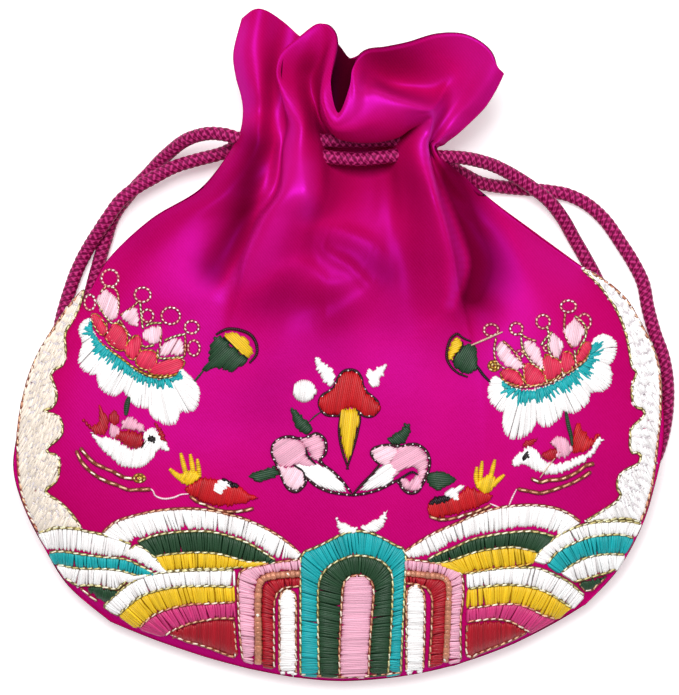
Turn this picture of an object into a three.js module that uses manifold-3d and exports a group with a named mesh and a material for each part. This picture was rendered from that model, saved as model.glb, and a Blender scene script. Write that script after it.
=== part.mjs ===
// A Korean jumeoni: a round satin drawstring pouch, lying on its back with its mouth gathered
// into a ruffle. Millimetres, +Z up out of the face, +Y from the bottom seam to the mouth.
// Two cloth panels meet in a seam round the edge. Two braided cords run through holes pierced
// in the pleats of the neck, one leaving at each side, and each ends in a knot under the pouch.
import * as THREE from "three";
import { mergeVertices } from "three/addons/utils/BufferGeometryUtils.js";
import Module from "manifold-3d";

const wasm = await Module();
wasm.setup();

// Driving sizes.
const bodyWidth = 130; // seam to seam across the belly
const bodyHeight = 107.6; // bottom seam to the line of the cords
const neckWidth = 42; // seam to seam where the cords draw the mouth together
const neckDepth = 24; // height of the gathered neck above the surface
const neckShift = -0.8; // the neck sits a little left of the belly's middle
const frillHeight = 27.8; // line of the cords to the top of the ruffle
const seamHeight = 9; // height of the side seam above the surface
const faceRise = 10; // the face's crown above the seam
const wall = 1; // satin, interlining and lining
const seamGap = 0.3; // between the two panels along the seam
const cordDiameter = 2.8;
const cordClearance = 0.35; // round a cord where it goes through the cloth
const endGap = 0.3; // between the ends of two solids that meet
const rimOverhang = 30; // how far in from the side seam the back lies clear of the surface
const bottomPoint = 1.4; // 2 curves the bottom evenly, 1 makes it a corner
const bottomStations = 19; // stops along the bottom seam between its two ends
const knotLength = 8;
const knotWidth = 7.6;
const knotHeight = 4.8;
const knotTail = 7; // the cord's two ends past the knot

// Rows of the pouch's grid, from the bottom seam up to the neck. Across in shares of half the body's
// width, up in shares of its height. "middle" is the row's height on the centre line, "seam" the seam's
// height in shares of seamHeight, "crown" the face's rise in shares of faceRise, and "under" how far in
// from the seam the back lies clear of the surface, in shares of rimOverhang.
const bodyRows = [
  { left: -0.705, leftUp: 0.125, right: 0.763, rightUp: 0.152, middle: 0.0, seam: 0.6, crown: 0.86, under: 0.6 },
  { left: -0.832, leftUp: 0.186, right: 0.862, rightUp: 0.217, middle: 0.044, seam: 0.7, crown: 0.86, under: 0.6 },
  { left: -0.907, leftUp: 0.259, right: 0.935, rightUp: 0.299, middle: 0.125, seam: 0.82, crown: 0.87, under: 0.85 },
  { left: -0.967, leftUp: 0.332, right: 0.975, rightUp: 0.378, middle: 0.221, seam: 0.92, crown: 0.88, under: 0.95 },
  { left: -1.0, leftUp: 0.403, right: 0.997, rightUp: 0.444, middle: 0.314, seam: 0.98, crown: 0.9, under: 1.0 },
  { left: -0.988, leftUp: 0.472, right: 1.0, rightUp: 0.509, middle: 0.407, seam: 1.0, crown: 0.92, under: 1.0 },
  { left: -0.954, leftUp: 0.552, right: 0.982, rightUp: 0.589, middle: 0.497, seam: 1.0, crown: 0.94, under: 1.0 },
  { left: -0.908, leftUp: 0.616, right: 0.942, rightUp: 0.649, middle: 0.582, seam: 1.0, crown: 0.97, under: 1.0 },
  { left: -0.852, leftUp: 0.67, right: 0.886, rightUp: 0.708, middle: 0.664, seam: 1.0, crown: 1.0, under: 1.0 },
  { left: -0.772, leftUp: 0.729, right: 0.812, rightUp: 0.753, middle: 0.737, seam: 1.04, crown: 1.05, under: 0.95 },
  { left: -0.705, leftUp: 0.797, right: 0.729, rightUp: 0.79, middle: 0.801, seam: 1.1, crown: 1.07, under: 0.85 },
  { left: -0.575, leftUp: 0.87, right: 0.597, rightUp: 0.848, middle: 0.86, seam: 1.17, crown: 1.05, under: 0.7 },
  { left: -0.422, leftUp: 0.927, right: 0.455, rightUp: 0.912, middle: 0.916, seam: 1.26, crown: 1.0, under: 0.5 },
];

// Folds of the face from the left seam to the right one. "belly" is the fold's share of the width where
// it dies out, "reach" how far below the cords it runs in shares of the body's height, and "fold" its
// height there in shares of neckDepth. The other columns are [across, up, out] from the neck to the hem,
// in shares of half the neck's width, the frill's height and the neck's depth.
const faceFolds = [
  { belly: 0.0, reach: 0.3, fold: 0.0, neck: [-0.96, 0.02, 0.5], root: [-0.89, 0.14, 0.5], lip: [-0.87, 0.27, 0.5],
    swell: [-0.89, 0.38, 0.5], crest: [-0.94, 0.52, 0.5], rise: [-0.96, 0.69, 0.52], hem: [-0.88, 0.93, 0.54] },
  { belly: 0.05, reach: 0.3, fold: 0.02, neck: [-0.87, 0.01, 0.67], root: [-0.8, 0.14, 0.67], lip: [-0.78, 0.27, 0.63],
    swell: [-0.8, 0.39, 0.65], crest: [-0.83, 0.53, 0.67], rise: [-0.84, 0.73, 0.67], hem: [-0.76, 0.99, 0.63] },
  { belly: 0.11, reach: 0.3, fold: 0.04, neck: [-0.73, -0.01, 0.77], root: [-0.7, 0.14, 0.73], lip: [-0.69, 0.27, 0.67],
    swell: [-0.7, 0.4, 0.71], crest: [-0.7, 0.55, 0.71], rise: [-0.7, 0.75, 0.69], hem: [-0.64, 0.98, 0.63] },
  { belly: 0.2, reach: 0.34, fold: -0.04, neck: [-0.58, -0.01, 0.67], root: [-0.58, 0.14, 0.58], lip: [-0.58, 0.27, 0.54],
    swell: [-0.57, 0.4, 0.56], crest: [-0.56, 0.54, 0.56], rise: [-0.52, 0.71, 0.54], hem: [-0.47, 0.9, 0.5] },
  { belly: 0.275, reach: 0.4, fold: -0.16, neck: [-0.5, -0.01, 0.61], root: [-0.47, 0.14, 0.6], lip: [-0.47, 0.27, 0.58],
    swell: [-0.46, 0.4, 0.57], crest: [-0.44, 0.53, 0.57], rise: [-0.39, 0.67, 0.56], hem: [-0.33, 0.8, 0.54] },
  { belly: 0.305, reach: 0.42, fold: 0.14, neck: [-0.47, -0.01, 0.83], root: [-0.42, 0.15, 0.83], lip: [-0.47, 0.29, 0.81],
    swell: [-0.52, 0.42, 0.79], crest: [-0.55, 0.54, 0.77], rise: [-0.5, 0.68, 0.73], hem: [-0.32, 0.8, 0.67] },
  { belly: 0.355, reach: 0.42, fold: 0.2, neck: [-0.31, -0.01, 0.96], root: [-0.29, 0.14, 0.92], lip: [-0.32, 0.28, 0.83],
    swell: [-0.37, 0.41, 0.75], crest: [-0.39, 0.53, 0.69], rise: [-0.32, 0.69, 0.71], hem: [-0.17, 0.88, 0.71] },
  { belly: 0.4, reach: 0.36, fold: 0.12, neck: [-0.15, -0.01, 0.79], root: [-0.19, 0.14, 0.71], lip: [-0.21, 0.28, 0.6],
    swell: [-0.23, 0.41, 0.54], crest: [-0.21, 0.53, 0.56], rise: [-0.13, 0.66, 0.67], hem: [-0.06, 0.86, 0.75] },
  { belly: 0.435, reach: 0.27, fold: -0.08, neck: [-0.06, 0.0, 0.48], root: [-0.11, 0.14, 0.5], lip: [-0.15, 0.26, 0.56],
    swell: [-0.15, 0.37, 0.67], crest: [-0.13, 0.49, 0.79], rise: [-0.08, 0.62, 0.85], hem: [0.01, 0.75, 0.83] },
  { belly: 0.46, reach: 0.25, fold: -0.24, neck: [0.03, 0.0, 0.42], root: [-0.01, 0.16, 0.5], lip: [-0.1, 0.165, 0.83],
    swell: [-0.125, 0.28, 1.04], crest: [-0.125, 0.35, 1.07], rise: [-0.1, 0.41, 1.07], hem: [-0.035, 0.45, 1.05] },
  { belly: 0.487, reach: 0.24, fold: -0.34, neck: [0.12, -0.01, 0.4], root: [0.1, 0.19, 0.5], lip: [0.03, 0.065, 0.81],
    swell: [-0.02, 0.11, 1.04], crest: [-0.01, 0.15, 1.1], rise: [0.01, 0.19, 1.11], hem: [0.035, 0.23, 1.09] },
  { belly: 0.51, reach: 0.24, fold: -0.38, neck: [0.21, -0.01, 0.39], root: [0.2, 0.2, 0.5], lip: [0.18, 0.035, 0.81],
    swell: [0.16, 0.09, 1.06], crest: [0.15, 0.19, 1.11], rise: [0.145, 0.3, 1.12], hem: [0.14, 0.41, 1.1] },
  { belly: 0.535, reach: 0.24, fold: -0.38, neck: [0.3, -0.01, 0.39], root: [0.3, 0.2, 0.5], lip: [0.32, 0.028, 0.81],
    swell: [0.31, 0.13, 1.06], crest: [0.27, 0.29, 1.1], rise: [0.22, 0.43, 1.09], hem: [0.175, 0.555, 1.06] },
  { belly: 0.56, reach: 0.24, fold: -0.34, neck: [0.39, -0.01, 0.4], root: [0.39, 0.2, 0.5], lip: [0.47, 0.038, 0.81],
    swell: [0.47, 0.17, 1.06], crest: [0.38, 0.37, 1.09], rise: [0.335, 0.5, 0.86], hem: [0.3, 0.655, 1.03] },
  { belly: 0.59, reach: 0.26, fold: -0.26, neck: [0.5, -0.01, 0.47], root: [0.5, 0.18, 0.5], lip: [0.61, 0.068, 0.81],
    swell: [0.62, 0.2, 1.06], crest: [0.58, 0.34, 1.07], rise: [0.53, 0.46, 0.64], hem: [0.49, 0.68, 0.97] },
  { belly: 0.62, reach: 0.32, fold: -0.06, neck: [0.6, -0.01, 0.68], root: [0.63, 0.12, 0.6], lip: [0.72, 0.125, 0.83],
    swell: [0.75, 0.21, 1.02], crest: [0.76, 0.3, 1.05], rise: [0.74, 0.44, 0.6], hem: [0.71, 0.72, 0.92] },
  { belly: 0.665, reach: 0.42, fold: 0.16, neck: [0.75, -0.01, 0.9], root: [0.8, 0.12, 0.85], lip: [0.86, 0.18, 0.92],
    swell: [0.89, 0.23, 1.0], crest: [0.91, 0.28, 0.97], rise: [0.95, 0.44, 0.62], hem: [0.98, 0.79, 0.84] },
  { belly: 0.71, reach: 0.44, fold: 0.2, neck: [0.87, -0.01, 0.9], root: [0.9, 0.09, 0.88], lip: [0.93, 0.17, 0.9],
    swell: [0.97, 0.24, 0.85], crest: [1.04, 0.34, 0.69], rise: [1.13, 0.52, 0.66], hem: [1.24, 0.79, 0.8] },
  { belly: 0.74, reach: 0.44, fold: -0.2, neck: [0.9, -0.02, 0.7], root: [0.92, 0.07, 0.66], lip: [0.97, 0.15, 0.62],
    swell: [1.04, 0.23, 0.6], crest: [1.15, 0.34, 0.61], rise: [1.3, 0.51, 0.7], hem: [1.44, 0.7, 0.8] },
  { belly: 0.86, reach: 0.36, fold: -0.1, neck: [0.95, -0.03, 0.74], root: [0.99, 0.05, 0.68], lip: [1.08, 0.13, 0.62],
    swell: [1.17, 0.22, 0.62], crest: [1.3, 0.32, 0.68], rise: [1.44, 0.46, 0.76], hem: [1.53, 0.58, 0.8] },
  { belly: 1.0, reach: 0.3, fold: 0.0, neck: [1.0, -0.04, 0.5], root: [1.05, 0.03, 0.5], lip: [1.17, 0.1, 0.52],
    swell: [1.3, 0.19, 0.56], crest: [1.43, 0.29, 0.63], rise: [1.53, 0.41, 0.69], hem: [1.6, 0.52, 0.75] },
];
const frillStations = ["neck", "root", "lip", "swell", "crest", "rise", "hem"];

// Pleats of the back from the left seam to the right one: "at" is the share of the width, "neck" and
// "hem" the cloth's height in shares of neckDepth, and "drop" how far the hem falls short of a straight
// line between the seams, in shares of the frill's height.
const backPleats = [
  { at: 0.0, neck: 0.5, hem: 0.54, drop: 0.0 },
  { at: 0.06, neck: 0.22, hem: 0.34, drop: 0.03 },
  { at: 0.14, neck: 0.08, hem: 0.2, drop: 0.06 },
  { at: 0.23, neck: 0.22, hem: 0.2, drop: 0.09 },
  { at: 0.35, neck: 0.06, hem: 0.3, drop: 0.0 },
  { at: 0.41, neck: 0.24, hem: 0.24, drop: 0.1 },
  { at: 0.5, neck: 0.06, hem: 0.12, drop: -0.01 },
  { at: 0.59, neck: 0.24, hem: 0.26, drop: 0.02 },
  { at: 0.68, neck: 0.06, hem: 0.14, drop: 0.06 },
  { at: 0.77, neck: 0.24, hem: 0.3, drop: 0.08 },
  { at: 0.86, neck: 0.08, hem: 0.3, drop: 0.06 },
  { at: 0.94, neck: 0.22, hem: 0.5, drop: 0.03 },
  { at: 1.0, neck: 0.5, hem: 0.75, drop: 0.0 },
];
const pleatReach = 0.3; // how far below the cords the back's pleats run, in shares of the body's height

// A smooth curve through evenly counted values, for numbers or for points.
function smooth(values, at) {
  const last = values.length - 1;
  const i = Math.min(Math.floor(at), last - 1);
  const t = at - i;
  const end = (k) => values[Math.max(0, Math.min(last, k))];
  const blend = (a, b, c, d) =>
    0.5 * (2 * b + (c - a) * t + (2 * a - 5 * b + 4 * c - d) * t * t + (3 * b - a - 3 * c + d) * t * t * t);
  const [a, b, c, d] = [end(i - 1), end(i), end(i + 1), end(i + 2)];
  if (typeof b === "number") return blend(a, b, c, d);
  return b.map((_, axis) => blend(a[axis], b[axis], c[axis], d[axis]));
}

// The face's rise by how far in from the seam a place is: round at the seam and flat over the middle.
const bulge = (distance, span) => Math.pow(1 - Math.pow(1 - Math.min(1, distance / span), 2.6), 0.62);
// How a fold dies out with the distance below the cords.
const fading = (distance, reach) => (distance < reach ? 0.5 * (1 + Math.cos((Math.PI * distance) / reach)) : 0);
// How the back lies clear of the surface near the seam.
const overhang = (distance, span) => Math.pow(Math.max(0, 1 - distance / span), 1.5);
const mix = (a, b, share) => a + (b - a) * share;

// A body row's two ends and the height of its middle, in millimetres.
function rowEnds(row) {
  return {
    left: (row.left * bodyWidth) / 2,
    right: (row.right * bodyWidth) / 2,
    leftUp: row.leftUp * bodyHeight,
    rightUp: row.rightUp * bodyHeight,
    middle: row.middle * bodyHeight,
    seam: row.seam * seamHeight,
    crown: row.crown * faceRise,
    under: row.under * rimOverhang,
  };
}

// The place along a row at a share of its width, at the seam's height.
function alongRow(ends, share) {
  const straight = mix(ends.leftUp, ends.rightUp, share);
  const bow = ends.middle - mix(ends.leftUp, ends.rightUp, 0.5);
  return [mix(ends.left, ends.right, share), straight + bow * (1 - Math.abs(2 * share - 1) ** bottomPoint), ends.seam];
}

const inFrill = ([across, up, out]) => [
  neckShift + (across * neckWidth) / 2,
  bodyHeight + up * frillHeight,
  out * neckDepth,
];

// The seam's outline from the neck's left side round the bottom to the neck's right side.
const seamLine = [
  inFrill(faceFolds[0].neck),
  ...bodyRows.map((row) => alongRow(rowEnds(row), 0)).reverse(),
  ...Array.from({ length: bottomStations }, (_, k) => alongRow(rowEnds(bodyRows[0]), (k + 1) / (bottomStations + 1))),
  ...bodyRows.map((row) => alongRow(rowEnds(row), 1)),
  inFrill(faceFolds[faceFolds.length - 1].neck),
];

// How far in from the seam a place is, seen from above.
function fromSeam(x, y) {
  return seamLine.slice(1).reduce((nearest, [bx, by], k) => {
    const [ax, ay] = seamLine[k];
    const along = ((x - ax) * (bx - ax) + (y - ay) * (by - ay)) / ((bx - ax) ** 2 + (by - ay) ** 2);
    const t = Math.max(0, Math.min(1, along));
    return Math.min(nearest, Math.hypot(x - mix(ax, bx, t), y - mix(ay, by, t)));
  }, Infinity);
}

// The points of one fold of the face, from the bottom seam to the hem.
function faceColumn(fold) {
  const neckShare = (fold.neck[0] + 1) / 2;
  const points = bodyRows.map((row) => {
    const ends = rowEnds(row);
    const below = bodyHeight - ends.middle;
    const gather = Math.min(1, Math.pow(Math.max(0, 1 - below / (0.3 * bodyHeight)), 2.2));
    const share = mix(fold.belly, neckShare, gather);
    const [x, y, seam] = alongRow(ends, share);
    const lift = fold.fold * neckDepth * fading(below, fold.reach * bodyHeight);
    return [x, y, seam + ends.crown * bulge(fromSeam(x, y), (ends.right - ends.left) / 2) + lift];
  });
  return [...points, ...frillStations.map((station) => inFrill(fold[station]))];
}

const leftSeam = faceColumn(faceFolds[0]);
const rightSeam = faceColumn(faceFolds[faceFolds.length - 1]);

// The points of one pleat of the back, from the bottom seam to the hem.
function backColumn(pleat) {
  const share = pleat.at;
  const base = bodyRows.map((row) => {
    const ends = rowEnds(row);
    const [x, y, seam] = alongRow(ends, share);
    const height = seam * overhang(fromSeam(x, y), ends.under);
    const pleated = fading(bodyHeight - ends.middle, pleatReach * bodyHeight);
    return [x, y, mix(height, Math.max(height, pleat.neck * neckDepth), pleated)];
  });
  const frill = frillStations.map((station, k) => {
    const up = k / (frillStations.length - 1);
    const a = leftSeam[bodyRows.length + k];
    const b = rightSeam[bodyRows.length + k];
    const height = share === 0 ? a[2] : share === 1 ? b[2] : mix(pleat.neck, pleat.hem, up) * neckDepth;
    return [mix(a[0], b[0], share), mix(a[1], b[1], share) - pleat.drop * up * frillHeight, height];
  });
  return [...base, ...frill];
}

// Steps of a grid: closer together at the bottom seam, one for each row of the body and two for each
// row of the neck and ruffle.
const lastRow = bodyRows.length + frillStations.length - 1;
const rowSteps = [0, 0.4];
for (let row = 1; row < bodyRows.length; row++) rowSteps.push(row);
for (let row = bodyRows.length - 0.5; row <= lastRow; row += 0.5) rowSteps.push(row);

function gridOf(columns, perColumn) {
  const count = (columns.length - 1) * perColumn;
  return rowSteps.map((row) => {
    const along = columns.map((column) => smooth(column, row));
    return Array.from({ length: count + 1 }, (_, i) => smooth(along, i / perColumn));
  });
}

const subtract = (a, b) => a.map((value, axis) => value - b[axis]);
const unit = (v) => {
  const size = Math.hypot(...v) || 1;
  return v.map((value) => value / size);
};
const cross = (a, b) => [a[1] * b[2] - a[2] * b[1], a[2] * b[0] - a[0] * b[2], a[0] * b[1] - a[1] * b[0]];

// Directions out of the cloth at each grid point. Along the seam they lie level, so the edges of the
// two panels face each other.
function outwards(grid, side) {
  const rows = grid.length;
  const count = grid[0].length;
  return grid.map((line, j) =>
    line.map((_, i) => {
      const across = subtract(line[Math.min(count - 1, i + 1)], line[Math.max(0, i - 1)]);
      const up = subtract(grid[Math.min(rows - 1, j + 1)][i], grid[Math.max(0, j - 1)][i]);
      if (j === 0) return unit([across[1], -across[0], 0]);
      if (i === 0) return unit([-up[1], up[0], 0]);
      if (i === count - 1) return unit([up[1], -up[0], 0]);
      return unit(cross(across, up).map((value) => value * side));
    }),
  );
}

const seamHeights = bodyRows.map((row) => row.seam * seamHeight);

// A cloth wall: the grid is its outer side, and the wall's thickness goes inwards. side is 1 for the
// face and -1 for the back. In the body both walls thin out towards the seam, where they meet.
function clothWall(grid, side) {
  const rows = grid.length;
  const count = grid[0].length;
  const normals = outwards(grid, side);
  const apart = (seamGap / 2) * side;
  const onSeam = (i, j) => j === 0 || i === 0 || i === count - 1;
  const outer = grid.map((line, j) =>
    line.map(([x, y, z], i) => [x, y, onSeam(i, j) ? z + apart : z]),
  );
  const inner = outer.map((line, j) => {
    const row = rowSteps[j];
    const inBody = row < bodyRows.length;
    const split = inBody ? smooth(seamHeights, row) + apart : 0;
    return line.map((point, i) => {
      const next = grid[Math.max(1, j)][Math.max(1, Math.min(count - 2, i))];
      const thickness = inBody && onSeam(i, j) ? Math.min(wall, fromSeam(next[0], next[1]) * 0.45) : wall;
      const [x, y, z] = point.map((value, axis) => value - thickness * normals[j][i][axis]);
      if (!inBody) return [x, y, z];
      return [x, y, side > 0 ? Math.max(z, split) : Math.min(z, split)];
    });
  });
  const vertices = [...outer.flat(), ...inner.flat()].flat();
  const half = rows * count;
  const triangles = [];
  const quad = (a, b, c, d) => {
    if (side > 0) triangles.push(a, b, c, a, c, d);
    else triangles.push(a, c, b, a, d, c);
  };
  for (let j = 0; j < rows - 1; j++) {
    for (let i = 0; i < count - 1; i++) {
      const a = j * count + i;
      quad(a, a + 1, a + count + 1, a + count);
      quad(half + a, half + a + count, half + a + count + 1, half + a + 1);
    }
  }
  const edge = [];
  for (let i = 0; i < count - 1; i++) edge.push(i);
  for (let j = 0; j < rows - 1; j++) edge.push(j * count + count - 1);
  for (let i = count - 1; i > 0; i--) edge.push((rows - 1) * count + i);
  for (let j = rows - 1; j > 0; j--) edge.push(j * count);
  edge.forEach((a, k) => {
    const b = edge[(k + 1) % edge.length];
    quad(a, half + a, half + b, b);
  });
  return solidFrom(vertices, triangles);
}

function solidFrom(vertices, triangles) {
  return new wasm.Manifold(
    new wasm.Mesh({
      numProp: 3,
      vertProperties: new Float32Array(vertices),
      triVerts: new Uint32Array(triangles),
    }),
  );
}

function solidOf(geometry) {
  const bare = geometry.clone();
  bare.deleteAttribute("normal");
  bare.deleteAttribute("uv");
  const merged = mergeVertices(bare, 1e-4);
  return solidFrom(merged.attributes.position.array, merged.index.array);
}

function geometryOf(solid) {
  const mesh = solid.getMesh();
  const geometry = new THREE.BufferGeometry();
  geometry.setAttribute("position", new THREE.BufferAttribute(new Float32Array(mesh.vertProperties), 3));
  geometry.setIndex(new THREE.BufferAttribute(new Uint32Array(mesh.triVerts), 1));
  geometry.computeVertexNormals();
  return geometry;
}

// Where the cords lie. Each route is chosen by hand: [across, up, out] in millimetres, across from the
// belly's middle and up from the line of the cords. It starts in the neck and ends at the knot.
const floorHeight = cordDiameter / 2 + 0.05;
const cordRoutes = {
  left_front: [
    [-17.5, 1.6, 11.6], [-20, 2, 11.5], [-22.8, 2.8, 11.1], [-26.5, 3, 9.9], [-30.9, 1.7, 7], [-35.4, -1.7, 3],
    [-38, -4.4, floorHeight], [-41.6, -8.2, floorHeight], [-45.2, -13, floorHeight], [-47, -18.2, floorHeight],
    [-48.4, -23, floorHeight], [-50, -29, floorHeight], [-51.6, -36, floorHeight], [-53, -43, floorHeight],
    [-54, -50, floorHeight], [-54.4, -56.5, floorHeight], [-54.1, -62, floorHeight], [-53.2, -66.8, floorHeight],
  ],
  left_back: [
    [-17.5, 1.6, 5], [-20, 1, 5], [-23.4, -0.7, 5.1], [-28.7, -2.1, 5.2], [-33.1, -3.5, 5.1],
    [-37.3, -5.7, 4.9], [-40.6, -7.6, 4.7], [-43.8, -10.2, 4.6], [-46.7, -14.2, 4.5], [-49, -17.6, 3.2],
    [-50.9, -20.6, 1.9], [-53, -25, floorHeight], [-55, -31, floorHeight], [-56.2, -36, floorHeight],
    [-57.3, -43, floorHeight], [-58, -50, floorHeight], [-58.1, -56.5, floorHeight], [-57.9, -61.5, floorHeight],
    [-57.1, -66.2, floorHeight],
  ],
  right_front: [
    [16.5, -1.6, 14.2], [19, -1.7, 13.4], [23.4, -1.8, 12], [26.5, -2.1, 10.6], [30.9, -3.2, 8], [35.1, -5.2, 5.8],
    [38.6, -7.4, 4.9], [42, -10, 4.6], [45, -13.6, 3], [47.6, -18, floorHeight], [49.8, -21.8, floorHeight],
    [52.2, -26.4, floorHeight], [54.8, -33, floorHeight], [56.6, -40, floorHeight], [57.6, -47, floorHeight],
    [58, -54, floorHeight], [57.6, -60, floorHeight], [56.8, -66, floorHeight],
  ],
  right_back: [
    [16.5, -1.6, 5], [19, -1.9, 4.9], [24.6, -4.6, 4], [28.7, -6.6, 2.6], [33.5, -7.4, floorHeight],
    [38.2, -7.8, floorHeight], [43, -8.3, floorHeight], [46.4, -9, floorHeight], [50.2, -10.9, floorHeight],
    [53.8, -14.2, floorHeight], [56.8, -18.5, floorHeight], [59.4, -22.6, floorHeight], [61.4, -26.8, floorHeight],
    [62.3, -31.5, floorHeight], [63.7, -36.7, floorHeight], [65.3, -41.2, floorHeight], [66.2, -46.2, floorHeight],
    [66.2, -52, floorHeight], [65.3, -57.5, floorHeight], [63.6, -62.4, floorHeight], [60.6, -66.4, floorHeight],
  ],
  left_neck: [
    [-17.5, 1.6, 11.6], [-14.5, 1.6, 11.8], [-11.3, 1.6, 12.2], [-9, 1.6, 13.2], [-5, 1.5, 14.2], [0, 1.4, 14.4],
    [6, 1.4, 14.4], [11, 1.6, 14.6], [13.5, 1.6, 14.4], [15.8, 1.6, 13], [16.6, 1.6, 10.3], [15.8, 1.6, 7.4],
    [13.5, 1.6, 5.4], [10, 1.6, 5], [0, 1.6, 5], [-10, 1.6, 5], [-17.5, 1.6, 5],
  ],
  right_neck: [
    [16.5, -1.6, 14.2], [14, -1.6, 15], [11.5, -1.6, 15.8], [8.5, -1.9, 16], [4, -2.3, 16], [-1, -2, 16],
    [-5, -1.6, 15.4], [-9, -1.6, 13.8], [-11.3, -1.6, 12.2], [-14, -1.6, 11.6], [-16.2, -1.6, 10.4], [-17, -1.6, 8.3],
    [-16.2, -1.6, 6.2], [-14, -1.6, 5.1], [-10, -1.6, 5], [0, -1.6, 5], [10, -1.6, 5], [16.5, -1.6, 5],
  ],
};

const routeCurve = (points) =>
  new THREE.CatmullRomCurve3(points.map(([x, y, z]) => new THREE.Vector3(x, y + bodyHeight, z)), false, "centripetal");

function tubeAlong(curve, radius, steps, sides = 8) {
  const corners = Array.from({ length: sides }, (_, k) => (2 * Math.PI * k) / sides);
  const section = new THREE.Shape(
    corners.map((turn) => new THREE.Vector2(radius * Math.cos(turn), radius * Math.sin(turn))),
  );
  return new THREE.ExtrudeGeometry(section, { steps, bevelEnabled: false, extrudePath: curve });
}

// The same curve without a little of each end, so that two solids that meet keep their gap.
function trimmed(curve, fromStart, fromEnd) {
  const length = curve.getLength();
  const count = 60;
  const from = fromStart / length;
  const to = 1 - fromEnd / length;
  const points = Array.from({ length: count + 1 }, (_, k) => curve.getPointAt(mix(from, to, k / count)));
  return new THREE.CatmullRomCurve3(points, false, "centripetal");
}

const cords = Object.entries(cordRoutes).map(([name, points]) => ({
  name: `cord_${name}`,
  curve: routeCurve(points),
  inNeck: name.endsWith("neck"),
  steps: name.endsWith("neck") ? 20 : 15,
}));

// Holes for the cords, cut through every fold that they cross.
const holeSides = 6;
const passage = (cordDiameter / 2 + cordClearance) / Math.cos(Math.PI / holeSides);
const stepsInNeck = 3; // of a cord outside the neck, the steps that may cross cloth
const cutters = cords.map(({ curve, inNeck, steps }) => {
  if (inNeck) return solidOf(tubeAlong(curve, passage, steps, holeSides));
  const rest = curve.getLength() * (1 - stepsInNeck / steps);
  return solidOf(tubeAlong(trimmed(curve, 0, rest), passage, stepsInNeck, holeSides));
});
const pierced = (solid) => cutters.reduce((cut, cutter) => cut.subtract(cutter), solid);

const faceGrid = gridOf(faceFolds.map(faceColumn), 2);
const backGrid = gridOf(backPleats.map(backColumn), 2).map((line) =>
  line.map(([x, y, z]) => [x, y, Math.max(0, z)]),
);

const satin = { color: 0xc4126e, roughness: 0.45, metalness: 0 };
const braid = { color: 0x9a0c52, roughness: 0.5, metalness: 0 };

const pouch = new THREE.Group();
function addPiece(name, geometry, look) {
  const mesh = new THREE.Mesh(geometry, new THREE.MeshStandardMaterial(look));
  mesh.name = name;
  pouch.add(mesh);
  return mesh;
}

// The body that holds most of a cut solid, without the crumbs that a cut leaves.
function largest(solid) {
  return solid.decompose().reduce((a, b) => (a.volume() > b.volume() ? a : b));
}

addPiece("front_panel", geometryOf(largest(pierced(clothWall(faceGrid, 1)))), satin);
addPiece("back_panel", geometryOf(largest(pierced(clothWall(backGrid, -1)))), satin);
for (const { name, curve, inNeck, steps } of cords) {
  const end = inNeck ? endGap / 2 : endGap;
  addPiece(name, tubeAlong(trimmed(curve, endGap / 2, end), cordDiameter / 2, steps), braid);
}

// A knot at the end of each pair of strands: a barrel with a short brush of both ends past it.
function knot(name, tails) {
  const ends = tails.map(({ curve }) => curve.getPointAt(1));
  const into = tails.map(({ curve }) => curve.getTangentAt(1));
  const start = ends[0].clone().add(ends[1]).multiplyScalar(0.5);
  const heading = into[0].clone().add(into[1]).setZ(0).normalize();
  const outline = [
    [0, 0], [0.62, 0.02], [0.92, 0.2], [1, 0.5], [0.92, 0.8], [0.62, 0.98], [0.5, 1.04],
  ].map(([radius, along]) => new THREE.Vector2((radius * knotWidth) / 2, along * knotLength));
  outline.push(new THREE.Vector2(knotWidth * 0.3, knotLength + knotTail * 0.5));
  outline.push(new THREE.Vector2(knotWidth * 0.34, knotLength + knotTail));
  outline.push(new THREE.Vector2(0, knotLength + knotTail));
  const mesh = addPiece(name, new THREE.LatheGeometry(outline, 10), braid);
  mesh.scale.set(1, 1, knotHeight / knotWidth);
  mesh.rotation.z = Math.atan2(heading.y, heading.x) - Math.PI / 2;
  mesh.position.set(start.x + heading.x * endGap, start.y + heading.y * endGap, knotHeight / 2 + 0.05);
}
knot("knot_left", cords.slice(0, 2));
knot("knot_right", cords.slice(2, 4));

// The origin is under the middle of the pouch's box, on the surface that it lies on.
const box = new THREE.Box3();
for (const name of ["front_panel", "back_panel"]) box.expandByObject(pouch.getObjectByName(name));
const middle = box.getCenter(new THREE.Vector3());
pouch.position.set(-middle.x, -middle.y, -box.min.z);

export default pouch;
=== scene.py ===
import math
import bpy
import numpy as np
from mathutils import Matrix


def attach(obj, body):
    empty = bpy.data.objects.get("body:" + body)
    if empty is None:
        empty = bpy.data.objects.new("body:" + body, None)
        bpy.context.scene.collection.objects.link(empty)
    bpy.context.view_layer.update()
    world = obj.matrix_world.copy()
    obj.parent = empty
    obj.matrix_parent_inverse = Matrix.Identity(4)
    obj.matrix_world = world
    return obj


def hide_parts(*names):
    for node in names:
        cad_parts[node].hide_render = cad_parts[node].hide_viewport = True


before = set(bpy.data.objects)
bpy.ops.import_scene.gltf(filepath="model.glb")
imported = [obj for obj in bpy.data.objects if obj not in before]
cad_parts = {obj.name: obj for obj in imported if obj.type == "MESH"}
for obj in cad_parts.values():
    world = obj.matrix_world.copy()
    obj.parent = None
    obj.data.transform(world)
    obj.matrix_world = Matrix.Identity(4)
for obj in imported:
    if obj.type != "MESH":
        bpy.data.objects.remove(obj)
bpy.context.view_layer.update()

mm = 0.001
rng = np.random.default_rng(11)

# The photograph is read at 0.2 mm for each of its pixels, from its middle.
photo = {"middle": (338.5, 349.0), "scale": 0.2 * mm}

# Points of a smooth curve for each of the points that it runs through.
finePerPoint = 40

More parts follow.
